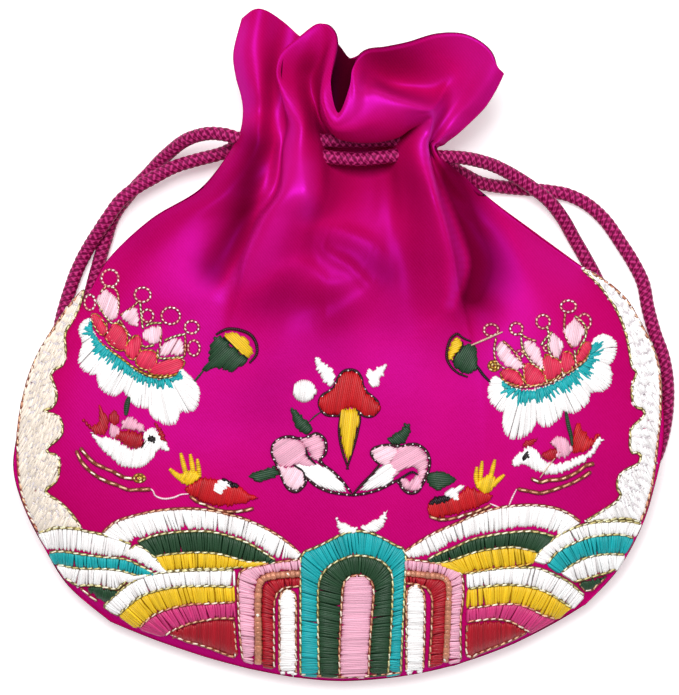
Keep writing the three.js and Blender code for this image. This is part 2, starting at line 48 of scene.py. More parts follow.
stage = {
    "lens": 250.0,          # a long lens, straight above
    "sensor": 36.0,
    "sight": 20.0,          # how far the camera sees
    "distance": 0.965,      # above the seam
    "lookAt": (0.2 * mm, 0.3 * mm, 9 * mm),
    "floor": (0.92, 0.92, 0.92),
    "floorHalf": 3.0,
    "floorGlow": 0.36,
    "sky": 0.24,
}
# Soft boxes: place in metres, power in watts, width in metres.
softBoxes = {
    "key": ((-0.12, 0.42, 1.15), 14.2, 0.6),
    "fill": ((0.5, -0.3, 0.9), 2.2, 0.9),
}

# The pouch's own sizes, in millimetres, and how its rounding runs, as in the part. Only the bottom's points
# and its lowest row follow the photograph closer than the part does.
size = {
    "bodyWidth": 130.0, "bodyHeight": 107.6, "neckWidth": 42.0, "neckDepth": 24.0, "neckShift": -0.8,
    "frillHeight": 27.8, "seamHeight": 9.0, "faceRise": 10.0, "wall": 1.0, "rimOverhang": 30.0,
    "pleatReach": 0.3, "cordDiameter": 2.8, "originUp": 67.61,
    "bottomPoints": (1.65, 2.15), "bottomStations": 19,
    "gatherReach": 0.3, "gatherPower": 2.2, "crownEdge": 2.6, "crownFull": 0.62, "rimPower": 1.5,
}

# Rows from the bottom seam up, as shares of the sizes: left, left up, right, right up, middle, seam,
# crown, under.
bodyRows = np.array([
    (-0.705, 0.120, 0.763, 0.152, 0.009, 0.6, 0.86, 0.6),
    (-0.832, 0.186, 0.862, 0.217, 0.044, 0.7, 0.86, 0.6),
    (-0.907, 0.259, 0.935, 0.299, 0.125, 0.82, 0.87, 0.85),
    (-0.967, 0.332, 0.975, 0.378, 0.221, 0.92, 0.88, 0.95),
    (-1.0, 0.403, 0.997, 0.444, 0.314, 0.98, 0.9, 1.0),
    (-0.988, 0.472, 1.0, 0.509, 0.407, 1.0, 0.92, 1.0),
    (-0.954, 0.552, 0.982, 0.589, 0.497, 1.0, 0.94, 1.0),
    (-0.908, 0.616, 0.942, 0.649, 0.582, 1.0, 0.97, 1.0),
    (-0.852, 0.67, 0.886, 0.708, 0.664, 1.0, 1.0, 1.0),
    (-0.772, 0.729, 0.812, 0.753, 0.737, 1.04, 1.05, 0.95),
    (-0.705, 0.797, 0.729, 0.79, 0.801, 1.1, 1.07, 0.85),
    (-0.575, 0.87, 0.597, 0.848, 0.86, 1.17, 1.05, 0.7),
    (-0.422, 0.927, 0.455, 0.912, 0.916, 1.26, 1.0, 0.5),
])

# Folds of the face from the left seam: share of the width in the belly, reach, height, then
# (across, up, out) at the neck, root, lip, swell, crest, rise and hem.
faceFolds = [
    (0.0, 0.3, 0.0, (-0.96, 0.02, 0.5), (-0.89, 0.14, 0.5), (-0.87, 0.27, 0.5),
     (-0.89, 0.38, 0.5), (-0.94, 0.52, 0.5), (-0.96, 0.69, 0.52), (-0.88, 0.93, 0.54)),
    (0.05, 0.3, 0.02, (-0.87, 0.01, 0.67), (-0.8, 0.14, 0.67), (-0.78, 0.27, 0.63),
     (-0.8, 0.39, 0.65), (-0.83, 0.53, 0.67), (-0.84, 0.73, 0.67), (-0.76, 0.99, 0.63)),
    (0.11, 0.3, 0.04, (-0.73, -0.01, 0.77), (-0.7, 0.14, 0.73), (-0.69, 0.27, 0.67),
     (-0.7, 0.4, 0.71), (-0.7, 0.55, 0.71), (-0.7, 0.75, 0.69), (-0.64, 0.98, 0.63)),
    (0.2, 0.34, -0.04, (-0.58, -0.01, 0.67), (-0.58, 0.14, 0.58), (-0.58, 0.27, 0.54),
     (-0.57, 0.4, 0.56), (-0.56, 0.54, 0.56), (-0.52, 0.71, 0.54), (-0.47, 0.9, 0.5)),
    (0.275, 0.4, -0.16, (-0.5, -0.01, 0.61), (-0.47, 0.14, 0.6), (-0.47, 0.27, 0.58),
     (-0.46, 0.4, 0.57), (-0.44, 0.53, 0.57), (-0.39, 0.67, 0.56), (-0.33, 0.8, 0.54)),
    (0.305, 0.42, 0.14, (-0.47, -0.01, 0.83), (-0.42, 0.15, 0.83), (-0.47, 0.29, 0.81),
     (-0.52, 0.42, 0.79), (-0.55, 0.54, 0.77), (-0.5, 0.68, 0.73), (-0.32, 0.8, 0.67)),
    (0.355, 0.42, 0.2, (-0.31, -0.01, 0.96), (-0.29, 0.14, 0.92), (-0.32, 0.28, 0.83),
     (-0.37, 0.41, 0.75), (-0.39, 0.53, 0.69), (-0.32, 0.69, 0.71), (-0.17, 0.88, 0.71)),
    (0.4, 0.36, 0.12, (-0.15, -0.01, 0.79), (-0.19, 0.14, 0.71), (-0.21, 0.28, 0.6),
     (-0.23, 0.41, 0.54), (-0.21, 0.53, 0.56), (-0.13, 0.66, 0.67), (-0.06, 0.86, 0.75)),
    (0.435, 0.27, -0.08, (-0.06, 0.0, 0.48), (-0.11, 0.14, 0.5), (-0.15, 0.26, 0.56),
     (-0.15, 0.37, 0.67), (-0.13, 0.49, 0.79), (-0.08, 0.62, 0.85), (0.01, 0.75, 0.83)),
    (0.46, 0.25, -0.24, (0.03, 0.0, 0.42), (-0.01, 0.16, 0.5), (-0.1, 0.165, 0.83),
     (-0.125, 0.28, 1.04), (-0.125, 0.35, 1.07), (-0.1, 0.41, 1.07), (-0.035, 0.45, 1.05)),
    (0.487, 0.24, -0.34, (0.12, -0.01, 0.4), (0.1, 0.19, 0.5), (0.03, 0.065, 0.81),
     (-0.02, 0.11, 1.04), (-0.01, 0.15, 1.1), (0.01, 0.19, 1.11), (0.035, 0.23, 1.09)),
    (0.51, 0.24, -0.38, (0.21, -0.01, 0.39), (0.2, 0.2, 0.5), (0.18, 0.035, 0.81),
     (0.16, 0.09, 1.06), (0.15, 0.19, 1.11), (0.145, 0.3, 1.12), (0.14, 0.41, 1.1)),
    (0.535, 0.24, -0.38, (0.3, -0.01, 0.39), (0.3, 0.2, 0.5), (0.32, 0.028, 0.81),
     (0.31, 0.13, 1.06), (0.27, 0.29, 1.1), (0.22, 0.43, 1.09), (0.175, 0.555, 1.06)),
    (0.56, 0.24, -0.34, (0.39, -0.01, 0.4), (0.39, 0.2, 0.5), (0.47, 0.038, 0.81),
     (0.47, 0.17, 1.06), (0.38, 0.37, 1.09), (0.335, 0.5, 0.86), (0.3, 0.655, 1.03)),
    (0.59, 0.26, -0.26, (0.5, -0.01, 0.47), (0.5, 0.18, 0.5), (0.61, 0.068, 0.81),
     (0.62, 0.2, 1.06), (0.58, 0.34, 1.07), (0.53, 0.46, 0.64), (0.49, 0.68, 0.97)),
    (0.62, 0.32, -0.06, (0.6, -0.01, 0.68), (0.63, 0.12, 0.6), (0.72, 0.125, 0.83),
     (0.75, 0.21, 1.02), (0.76, 0.3, 1.05), (0.74, 0.44, 0.6), (0.71, 0.72, 0.92)),
    (0.665, 0.42, 0.16, (0.75, -0.01, 0.9), (0.8, 0.12, 0.85), (0.86, 0.18, 0.92),
     (0.89, 0.23, 1.0), (0.91, 0.28, 0.97), (0.95, 0.44, 0.62), (0.98, 0.79, 0.84)),
    (0.71, 0.44, 0.2, (0.87, -0.01, 0.9), (0.9, 0.09, 0.88), (0.93, 0.17, 0.9),
     (0.97, 0.24, 0.85), (1.04, 0.34, 0.69), (1.13, 0.52, 0.66), (1.24, 0.79, 0.8)),
    (0.74, 0.44, -0.2, (0.9, -0.02, 0.7), (0.92, 0.07, 0.66), (0.97, 0.15, 0.62),
     (1.04, 0.23, 0.6), (1.15, 0.34, 0.61), (1.3, 0.51, 0.7), (1.44, 0.7, 0.8)),
    (0.86, 0.36, -0.1, (0.95, -0.03, 0.74), (0.99, 0.05, 0.68), (1.08, 0.13, 0.62),
     (1.17, 0.22, 0.62), (1.3, 0.32, 0.68), (1.44, 0.46, 0.76), (1.53, 0.58, 0.8)),
    (1.0, 0.3, 0.0, (1.0, -0.04, 0.5), (1.05, 0.03, 0.5), (1.17, 0.1, 0.52),
     (1.3, 0.19, 0.56), (1.43, 0.29, 0.63), (1.53, 0.41, 0.69), (1.6, 0.52, 0.75)),
]

# Pleats of the back from the left seam: place, height at the neck, height at the hem, drop of the hem.
backPleats = [
    (0.0, 0.5, 0.54, 0.0), (0.06, 0.22, 0.34, 0.03), (0.14, 0.08, 0.2, 0.06), (0.23, 0.22, 0.2, 0.09),
    (0.35, 0.06, 0.3, 0.0), (0.41, 0.24, 0.24, 0.1), (0.5, 0.06, 0.12, -0.01), (0.59, 0.24, 0.26, 0.02),
    (0.68, 0.06, 0.14, 0.06), (0.77, 0.24, 0.3, 0.08), (0.86, 0.08, 0.3, 0.06), (0.94, 0.22, 0.5, 0.03),
    (1.0, 0.5, 0.75, 0.0),
]

# Where the cords lie, in millimetres: across, up from the line of the cords, out.
cordRoutes = {
    "cord_left_front": [
        (-17.5, 1.6, 11.6), (-20, 2, 11.5), (-22.8, 2.8, 11.1), (-26.5, 3, 9.9), (-30.9, 1.7, 7),
        (-35.4, -1.7, 3), (-38, -4.4, 1.45), (-41.6, -8.2, 1.45), (-45.2, -13, 1.45), (-47, -18.2, 1.45),
        (-48.4, -23, 1.45), (-50, -29, 1.45), (-51.6, -36, 1.45), (-53, -43, 1.45), (-54, -50, 1.45),
        (-54.4, -56.5, 1.45), (-54.1, -62, 1.45), (-53.2, -66.8, 1.45)],
    "cord_left_back": [
        (-17.5, 1.6, 5), (-20, 1, 5), (-23.4, -0.7, 5.1), (-28.7, -2.1, 5.2), (-33.1, -3.5, 5.1),
        (-37.3, -5.7, 4.9), (-40.6, -7.6, 4.7), (-43.8, -10.2, 4.6), (-46.7, -14.2, 4.5),
        (-49, -17.6, 3.2), (-50.9, -20.6, 1.9), (-53, -25, 1.45), (-55, -31, 1.45), (-56.2, -36, 1.45),
        (-57.3, -43, 1.45), (-58, -50, 1.45), (-58.1, -56.5, 1.45), (-57.9, -61.5, 1.45),
        (-57.1, -66.2, 1.45)],
    "cord_right_front": [
        (16.5, -1.6, 14.2), (19, -1.7, 13.4), (23.4, -1.8, 12), (26.5, -2.1, 10.6), (30.9, -3.2, 8),
        (35.1, -5.2, 5.8), (38.6, -7.4, 4.9), (42, -10, 4.6), (45, -13.6, 3), (47.6, -18, 1.45),
        (49.8, -21.8, 1.45), (52.2, -26.4, 1.45), (54.8, -33, 1.45), (56.6, -40, 1.45),
        (57.6, -47, 1.45), (58, -54, 1.45), (57.6, -60, 1.45), (56.8, -66, 1.45)],
    "cord_right_back": [
        (16.5, -1.6, 5), (19, -1.9, 4.9), (24.6, -4.6, 4), (28.7, -6.6, 2.6), (33.5, -7.4, 1.45),
        (38.2, -7.8, 1.45), (43, -8.3, 1.45), (46.4, -9, 1.45), (50.2, -10.9, 1.45), (53.8, -14.2, 1.45),
        (56.8, -18.5, 1.45), (59.4, -22.6, 1.45), (61.4, -26.8, 1.45), (62.3, -31.5, 1.45),
        (63.7, -36.7, 1.45), (65.3, -41.2, 1.45), (66.2, -46.2, 1.45), (66.2, -52, 1.45),
        (65.3, -57.5, 1.45), (63.6, -62.4, 1.45), (60.6, -66.4, 1.45)],
    "cord_left_neck": [
        (-17.5, 1.6, 11.6), (-14.5, 1.6, 11.8), (-11.3, 1.6, 12.2), (-9, 1.6, 13.2), (-5, 1.5, 14.2),
        (0, 1.4, 14.4), (6, 1.4, 14.4), (11, 1.6, 14.6), (13.5, 1.6, 14.4), (15.8, 1.6, 13),
        (16.6, 1.6, 10.3), (15.8, 1.6, 7.4), (13.5, 1.6, 5.4), (10, 1.6, 5), (0, 1.6, 5), (-10, 1.6, 5),
        (-17.5, 1.6, 5)],
    "cord_right_neck": [
        (16.5, -1.6, 14.2), (14, -1.6, 15), (11.5, -1.6, 15.8), (8.5, -1.9, 16), (4, -2.3, 16),
        (-1, -2, 16), (-5, -1.6, 15.4), (-9, -1.6, 13.8), (-11.3, -1.6, 12.2), (-14, -1.6, 11.6),
        (-16.2, -1.6, 10.4), (-17, -1.6, 8.3), (-16.2, -1.6, 6.2), (-14, -1.6, 5.1), (-10, -1.6, 5),
        (0, -1.6, 5), (10, -1.6, 5), (16.5, -1.6, 5)],
}
# The part's box is centred on the origin, so the line of the cords lies this far up.
lineUp = size["bodyHeight"] - size["originUp"]


def srgb(code):
    # "c80a70" to linear light
    values = np.array([int(code[i:i + 2], 16) / 255 for i in (0, 2, 4)])
    return np.where(values <= 0.04045, values / 12.92, ((values + 0.055) / 1.055) ** 2.4)


def fromPhoto(points):
    # a pixel of the photograph to metres across and up
    return (np.asarray(points, float) - photo["middle"]) * (photo["scale"], -photo["scale"])


def catmull(values, at):
    # Catmull-Rom through evenly counted values: half of the four neighbours' cubic blend
    values = np.asarray(values, float)
    last = len(values) - 1
    i = np.minimum(np.floor(at).astype(int), last - 1)
    t = (at - i).reshape((-1,) + (1,) * (values.ndim - 1))
    a, b, c, d = (values[np.clip(i + k, 0, last)] for k in (-1, 0, 1, 2))
    bend = (2 * a - 5 * b + 4 * c - d) * t ** 2
    twist = (3 * b - a - 3 * c + d) * t ** 3
    return 0.5 * (2 * b + (c - a) * t + bend + twist)


def evenly(points, count, closed=False):
    # a smooth curve through the points, cut into pieces of equal length
    points = np.asarray(points, float)
    if closed:
        points = np.vstack([points[-2:], points, points[:3]])
    at = np.linspace(0, len(points) - 1, finePerPoint * len(points))
    fine = catmull(points, at)
    if closed:
        fine = fine[(at >= 2) & (at <= len(points) - 3)]
    run = np.concatenate([[0], np.cumsum(np.linalg.norm(np.diff(fine, axis=0), axis=1))])
    want = np.linspace(0, run[-1], count)
    return np.stack([np.interp(want, run, fine[:, k]) for k in range(points.shape[1])], axis=1)


def lengthOf(points):
    return np.linalg.norm(np.diff(np.asarray(points, float), axis=0), axis=1).sum()


def link(name, mesh):
    piece = bpy.data.objects.new(name, mesh)
    bpy.context.scene.collection.objects.link(piece)
    return piece


def newMesh(name, vertices, faces, material):
    mesh = bpy.data.meshes.new(name)
    mesh.from_pydata(np.asarray(vertices).tolist(), [], [list(map(int, face)) for face in faces])
    mesh.materials.append(material)
    mesh.polygons.foreach_set("use_smooth", [True] * len(mesh.polygons))
    mesh.update()
    return link(name, mesh)


def dress(piece, node=None):
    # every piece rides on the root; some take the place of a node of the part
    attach(piece, "root")
    if node:
        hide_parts(node)


def gridFaces(rows, count, closed=False):
    # quads of a grid of rows by count, wrapping round where it is closed
    i = np.arange(count if closed else count - 1)
    j = np.arange(rows - 1)[:, None] * count
    a = (j + i).ravel()
    b = (j + (i + 1) % count).ravel()
    return np.stack([a, b, b + count, a + count], axis=1)


def makeStage():
    # camera, floor and light
    eye = link("camera", bpy.data.cameras.new("camera"))
    eye.data.lens = stage["lens"]
    eye.data.sensor_width = stage["sensor"]
    eye.data.clip_end = stage["sight"]
    x, y, z = stage["lookAt"]
    eye.location = (x, y, z + stage["distance"])
    bpy.context.scene.camera = eye

    white = Shader("floor_white")
    white.surface({
        "Base Color": (*stage["floor"], 1), "Roughness": 0.9, "Specular IOR Level": 0.1,
        "Emission Color": (1, 1, 1, 1), "Emission Strength": stage["floorGlow"],
    })
    far = stage["floorHalf"]
    corners = [(-far, -far, 0), (far, -far, 0), (far, far, 0), (-far, far, 0)]
    newMesh("floor", corners, [(0, 1, 2, 3)], white.material)

    world = bpy.data.worlds.new("studio")
    world.use_nodes = True
    world.node_tree.nodes["Background"].inputs["Color"].default_value = (1, 1, 1, 1)
    world.node_tree.nodes["Background"].inputs["Strength"].default_value = stage["sky"]
    bpy.context.scene.world = world

    for name, (place, power, width) in softBoxes.items():
        lamp = link(name, bpy.data.lights.new(name, "AREA"))
        lamp.data.energy = power
        lamp.data.size = width
        lamp.location = place
        toward = -np.array(place)
        tilt = math.acos(-toward[2] / np.linalg.norm(toward))
        lamp.rotation_euler = (tilt, 0, math.atan2(toward[1], toward[0]) - math.pi / 2)
    bpy.context.scene.view_settings.view_transform = "Standard"
    print("stage ready")


class Value:
    # a socket of a shader that takes Python's operators
    def __init__(self, shader, socket):
        self.shader = shader
        self.socket = socket

    def maths(self, operation, *others):
        return self.shader.node("ShaderNodeMath", {"operation": operation}, [self, *others])

    def __add__(self, other):
        return self.maths("ADD", other)

    def __sub__(self, other):
        return self.maths("SUBTRACT", other)

    def __mul__(self, other):
        return self.maths("MULTIPLY", other)

    def __pow__(self, other):
        return self.maths("POWER", other)


class Shader:
    def __init__(self, name):
        self.material = bpy.data.materials.new(name)
        self.material.use_nodes = True
        self.tree = self.material.node_tree
        self.bsdf = self.tree.nodes["Principled BSDF"]
        self.place = self.node("ShaderNodeTexCoord", output="Object")

    def feed(self, socket, value):
        if isinstance(value, Value):
            self.tree.links.new(value.socket, socket)
        else:
            socket.default_value = value

    def node(self, kind, settings=None, inputs=None, output=0):
        # settings are set first, then the sockets by name or by place
        made = self.tree.nodes.new(kind)
        for key, value in (settings or {}).items():
            setattr(made, key, value)
        pairs = inputs.items() if isinstance(inputs, dict) else enumerate(inputs or [])
        for key, value in pairs:
            self.feed(made.inputs[key], value)
        return Value(self, made.outputs[output])

    def noise(self, scale, detail):
        inputs = {"Vector": self.place, "Scale": scale, "Detail": detail}
        return self.node("ShaderNodeTexNoise", None, inputs, "Fac")

    def attribute(self, name, output="Fac"):
        return self.node("ShaderNodeAttribute", {"attribute_name": name}, None, output)

    def split(self, vector, axis):
        return self.node("ShaderNodeSeparateXYZ", None, [vector], axis)

    def blend(self, share, a, b):
        # from colour a to colour b
        made = self.tree.nodes.new("ShaderNodeMix")
        made.data_type = "RGBA"
        self.feed(made.inputs["Factor"], share)
        self.feed([s for s in made.inputs if s.name == "A" and s.type == "RGBA"][0], a)
        self.feed([s for s in made.inputs if s.name == "B" and s.type == "RGBA"][0], b)
        return Value(self, [s for s in made.outputs if s.type == "RGBA"][0])

    def surface(self, inputs):
        for key, value in inputs.items():
            self.feed(self.bsdf.inputs[key], value)

    def over(self, share, inputs):
        # a second surface mixed over the first by a small share
        second = self.tree.nodes.new("ShaderNodeBsdfPrincipled")
        for key, value in inputs.items():
            self.feed(second.inputs[key], value)
        mixer = self.tree.nodes.new("ShaderNodeMixShader")
        self.feed(mixer.inputs[0], share)
        self.tree.links.new(self.bsdf.outputs[0], mixer.inputs[1])
        self.tree.links.new(second.outputs[0], mixer.inputs[2])
        self.tree.links.new(mixer.outputs[0], self.tree.nodes["Material Output"].inputs["Surface"])

    def bump(self, height, strength, distance, under=None):
        inputs = {"Strength": strength, "Distance": distance, "Height": height}
        if under:
            inputs["Normal"] = under
        return self.node("ShaderNodeBump", None, inputs, "Normal")


satin = {
    # the lining's dark red is painted shade inside the pouch
    "body": "bc0450", "deep": "a80040", "glow": "c80a6c", "lining": "5a0220",
    "shine": (0.75, 0.02, 1.0),     # the violet of the gloss
    "shineShare": 0.07, "shineRoughness": 0.45,
    "paintedShadeColour": "46000f", "paintedSheenColour": "cc1684",      # painted shade and painted violet sheen that the cloth's tone draws it towards
    "ribs": 0.62 * mm,      # from one twill rib to the next
    "ribLean": 0.8, "ribWander": 3.5,
    "ribDepth": 0.03 * mm,
    "slubs": 0.25 * mm,     # soft unevenness of the cloth
    "slow": (45.0, 3.0), "fine": (1300.0, 2.0), "uneven": (90.0, 3.0),      # noises: scale, detail
    "paintedShadeMost": 0.8, "paintedSheenMost": 0.45,
}


def makeSatin():
    # diagonal ribs along x + 0.8 y, broken a little by noise, and a slow change of colour; the tone
    # attribute paints shade and a violet sheen, and the inside is painted darker as shade within the pouch.
    # The red body has no gloss of its own: the gloss is a violet surface mixed over it, stronger where the
    # sheen is painted and weaker in the painted shade and inside
    s = Shader("satin_twill")
    colours = {key: (*srgb(satin[key]), 1) for key in ("body", "deep", "glow", "lining", "paintedShadeColour", "paintedSheenColour")}
    inside = s.attribute("inside")
    slow = s.noise(*satin["slow"])
    fine = s.noise(*satin["fine"])
    along = s.split(s.place, 0) + s.split(s.place, 1) * satin["ribLean"]
    diagonal = along * (2 * math.pi / satin["ribs"])
    ribs = (diagonal + fine * satin["ribWander"]).maths("SINE") * 0.5 + 0.5
    tone = s.attribute("tone")
    # painted shade below 0 of the tone, painted violet sheen above
    dark = (tone * -1.0).maths("MAXIMUM", 0.0).maths("MINIMUM", 1.0)
    bright = tone.maths("MAXIMUM", 0.0).maths("MINIMUM", 1.0)
    colour = s.blend((slow - 0.35) * 2.2, colours["deep"], colours["body"])
    colour = s.blend(ribs * 0.35 + fine * 0.3, colour, colours["glow"])
    colour = s.blend(dark * satin["paintedShadeMost"], colour, colours["paintedShadeColour"])
    colour = s.blend(bright * satin["paintedSheenMost"], colour, colours["paintedSheenColour"])
    colour = s.blend(inside, colour, colours["lining"])
    soft = s.bump(s.noise(*satin["uneven"]), 0.5, satin["slubs"])
    normal = s.bump(ribs * 0.6 + fine, 0.4, satin["ribDepth"], soft)
    s.surface({"Base Color": colour, "Roughness": 0.6, "Specular IOR Level": 0.0, "Normal": normal})
    # more gloss where the sheen is painted, less in the painted shade and on the inside
    share = (bright * 1.4 - dark * 0.85 + 1.0) * (inside * -0.85 + 1.0) * satin["shineShare"]
    s.over(share, {
        "Base Color": (*satin["shine"], 1), "Metallic": 1.0,
        "Roughness": ribs * 0.06 + satin["shineRoughness"], "Normal": normal})
    return s.material


braid = {
    # deep is painted shade in the grooves, light a painted glint on the crests
    "light": "e44c9c", "body": "a20a54", "deep": "4c0226", "roughness": 0.5,
    "gloss": 0.25, "glossTint": (1.0, 0.3, 0.75, 1), "fine": (2600.0, 2.0), "fineDepth": 0.06 * mm,
}


def makeBraid():
    # the tube's relief carries the strands; colour follows it through the strand attribute, as painted
    # shade down in the grooves and at the cut ends and painted glints on the strands' crests
    s = Shader("braided_cord")
    strand = s.attribute("strand")
    colour = s.blend(strand ** 1.4, (*srgb(braid["deep"]), 1), (*srgb(braid["body"]), 1))
    colour = s.blend(strand ** 5.0 * 0.7, colour, (*srgb(braid["light"]), 1))
    s.surface({
        "Base Color": colour, "Roughness": braid["roughness"], "Specular IOR Level": braid["gloss"],
        "Specular Tint": braid["glossTint"],
        "Normal": s.bump(s.noise(*braid["fine"]), 0.4, braid["fineDepth"]),
    })
    return s.material


# Silk is smooth; gold is metal foil wound round a core, with bright and dark glints along the thread.
# Noise: scale, detail. Roughness: how much the noise changes it, its least. Bump: strength, distance.
threadLooks = {
    "silk_thread": {"noise": (3000.0, 2.0), "roughness": (0.2, 0.38), "bump": (0.5, 0.05 * mm),
                    "rest": {"Specular IOR Level": 0.4}},
    "gold_thread": {"noise": (4200.0, 2.0), "roughness": (0.3, 0.22), "bump": (0.9, 0.12 * mm),
                    "rest": {"Metallic": 0.25}},
}


def makeThread(name):
    # the thread's colour is on its vertices
    s = Shader(name)
    look = threadLooks[name]
    fine = s.noise(*look["noise"])
    change, least = look["roughness"]
    s.surface({
        "Base Color": s.attribute("thread", "Color"), "Roughness": fine * change + least, **look["rest"],
        "Normal": s.bump(fine, *look["bump"]),
    })
    return s.material


makeStage()

# Cords: a tube whose skin rises and falls with a diamond braid.
cordLook = {
    "sides": 36, "step": 0.3 * mm, "fewest": 12, "braidPitch": 5.2 * mm, "strands": 4, "relief": 0.17 * mm,
    "half": 0.62, "swing": 0.38, "sharp": 0.5,      # how high a strand stands and how steeply it drops
    "endShade": 0.3, "pathStep": 8,
}


def carry(path, count):
    # frames carried along a path without twist: each side vector is the last one made square again
    path = evenly(path, count)
    along = np.gradient(path, axis=0)
    along /= np.linalg.norm(along, axis=1, keepdims=True)
    side = np.empty_like(path)
    guess = np.array([0.0, 0.0, 1.0])
    if abs(along[0] @ guess) > 0.9:
        guess = np.array([0.0, 1.0, 0.0])
    for k in range(count):
        guess = guess - along[k] * (guess @ along[k])
        guess = guess / np.linalg.norm(guess)
        side[k] = guess
    return path, side, np.cross(along, side)


def makeCord(name, path, material, radius):
    # r = radius - relief + relief * braid, where braid is the higher of two crossing spirals,
    # each going over for half of its turns: cos(s + a) and cos(s - a) of the place s and angle a
    count = max(cordLook["fewest"], int(lengthOf(path) / cordLook["step"]))
    centre, side, other = carry(path, count)
    sides = cordLook["sides"]
    turn = np.linspace(0, 2 * math.pi, sides, endpoint=False)
    run = np.linspace(0, lengthOf(centre), count)[:, None] * 2 * math.pi / cordLook["braidPitch"]
    n = cordLook["strands"]
    over = np.cos(n * turn) * np.cos(n * run) > 0
    wave = np.where(over, np.cos(n * (turn + run)), np.cos(n * (turn - run)))
    lift = cordLook["half"] + cordLook["swing"] * np.abs(wave) ** cordLook["sharp"] * np.sign(wave + 1e-9)
    lift = np.clip(lift, 0, 1)
    radii = radius + cordLook["relief"] * (lift - 1)
    skin = centre[:, None] + radii[..., None] * (
        np.cos(turn)[None, :, None] * side[:, None] + np.sin(turn)[None, :, None] * other[:, None])
    vertices = np.vstack([skin.reshape(-1, 3), centre[:1], centre[-1:]])
    faces = gridFaces(count, sides, closed=True).tolist()
    first = len(vertices) - 2
    last = len(vertices) - 1
    faces += [(first, (k + 1) % sides, k) for k in range(sides)]
    faces += [(last, (count - 1) * sides + k, (count - 1) * sides + (k + 1) % sides) for k in range(sides)]
    piece = newMesh(name, vertices, faces, material)
    shade = piece.data.attributes.new("strand", "FLOAT", "POINT")
    shade.data.foreach_set("value", np.concatenate([lift.ravel(), [cordLook["endShade"]] * 2]))
    return piece, centre


def cordPath(name):
    return (np.array(cordRoutes[name], float) + (0, lineUp, 0)) * mm


knot = {
    "size": (3.4 * mm, 3.2 * mm, 1.05 * mm), "strand": 1.3 * mm, "past": 4.4, "gap": 0.05 * mm,
    "tail": 6.5 * mm, "tailStrand": 0.95, "tailPoints": 4, "tailDrop": 0.4 * mm, "spread": 0.2,
    "tailFrom": (2, 4),     # millimetres on from the middle, and to the side for a turn of 1
}


def makeKnot(name, strands, material):
    # an overhand knot: (sin t + 2 sin 2t, cos t - 2 cos 2t, sin 3t), with two short ends past it
    ends = [cordPath(s)[-1] for s in strands]
    heading = sum(cordPath(s)[-1] - cordPath(s)[-2] for s in strands) * (1, 1, 0)
    heading = heading / np.linalg.norm(heading)
    across = np.array([-heading[1], heading[0], 0])
    t = np.linspace(0, 2 * math.pi, 60, endpoint=False)
    a, b, c = knot["size"]
    x = (np.sin(t) + 2 * np.sin(2 * t)) / 3 * a
    y = (np.cos(t) - 2 * np.cos(2 * t)) / 3 * b
    z = np.sin(3 * t) * c
    middle = (ends[0] + ends[1]) / 2 + heading * knot["past"] * mm
    middle[2] = knot["strand"] + c + knot["gap"]
    place = middle + x[:, None] * across + y[:, None] * heading + z[:, None] * (0, 0, 1)
    place = np.vstack([place, place[:2]])
    loop, _ = makeCord(f"tied_{name}", place, material, knot["strand"])
    dress(loop, name)
    on, aside = knot["tailFrom"]
    for number, turn in enumerate((-knot["spread"], knot["spread"])):
        start = middle + heading * on * mm + across * math.sin(turn) * aside * mm
        away = heading * math.cos(turn) + across * math.sin(turn)
        tail = [start + away * knot["tail"] * k / 3 + np.array([0, 0, -knot["tailDrop"] * k])
                for k in range(knot["tailPoints"])]
        thin = knot["strand"] * knot["tailStrand"]
        end, _ = makeCord(f"tied_{name}_end_{number + 1}", tail, material, thin)
        dress(end)


braidMaterial = makeBraid()
radius = size["cordDiameter"] / 2 * mm
for side in ("left", "right"):
    makeKnot(f"knot_{side}", (f"cord_{side}_front", f"cord_{side}_back"), braidMaterial)
for name in cordRoutes:
    piece, centre = makeCord(f"braided_{name}", cordPath(name), braidMaterial, radius)
    dress(piece, name)
    path = [tuple(point) for point in centre[::cordLook["pathStep"]]] + [tuple(centre[-1])]
print("cords ready")


# The cloth: rows and folds worked out as in the part, then a fine grid through them.

def rowEnds():
    # left, left up, right, right up, middle, seam, crown, under, in millimetres
    across, up = size["bodyWidth"] / 2, size["bodyHeight"]
    heights = (size["seamHeight"], size["faceRise"], size["rimOverhang"])
    return (bodyRows * (across, up, across, up, up, *heights)).T


def alongRows(share):
    # a straight line between a row's ends, bowed by 1 - |2 share - 1|^point: sharper left of the middle
    left, leftUp, right, rightUp, middle, seam, _, _ = rowEnds()
    share = np.asarray(share)
    bow = middle - (leftUp + rightUp) / 2
    point = np.where(share < 0.5, *size["bottomPoints"])
    up = leftUp + (rightUp - leftUp) * share + bow * (1 - np.abs(2 * share - 1) ** point)
    return left + (right - left) * share, up, seam


def inFrill(shares):
    across, up, out = np.moveaxis(np.asarray(shares, float), -1, 0)
    return np.stack([size["neckShift"] + across * size["neckWidth"] / 2,
                     size["bodyHeight"] + up * size["frillHeight"], out * size["neckDepth"]], axis=-1)


def seamLine():
    leftX, leftY, _ = alongRows(0.0)
    rightX, rightY, _ = alongRows(1.0)
    stops = [alongRows(k / (size["bottomStations"] + 1)) for k in range(1, size["bottomStations"] + 1)]
    bottom = np.array([[across[0], up[0]] for across, up, _ in stops])
    return np.vstack([inFrill(faceFolds[0][3])[:2], np.stack([leftX, leftY], 1)[::-1], bottom,
                      np.stack([rightX, rightY], 1), inFrill(faceFolds[-1][3])[:2]])


seamPath = seamLine()


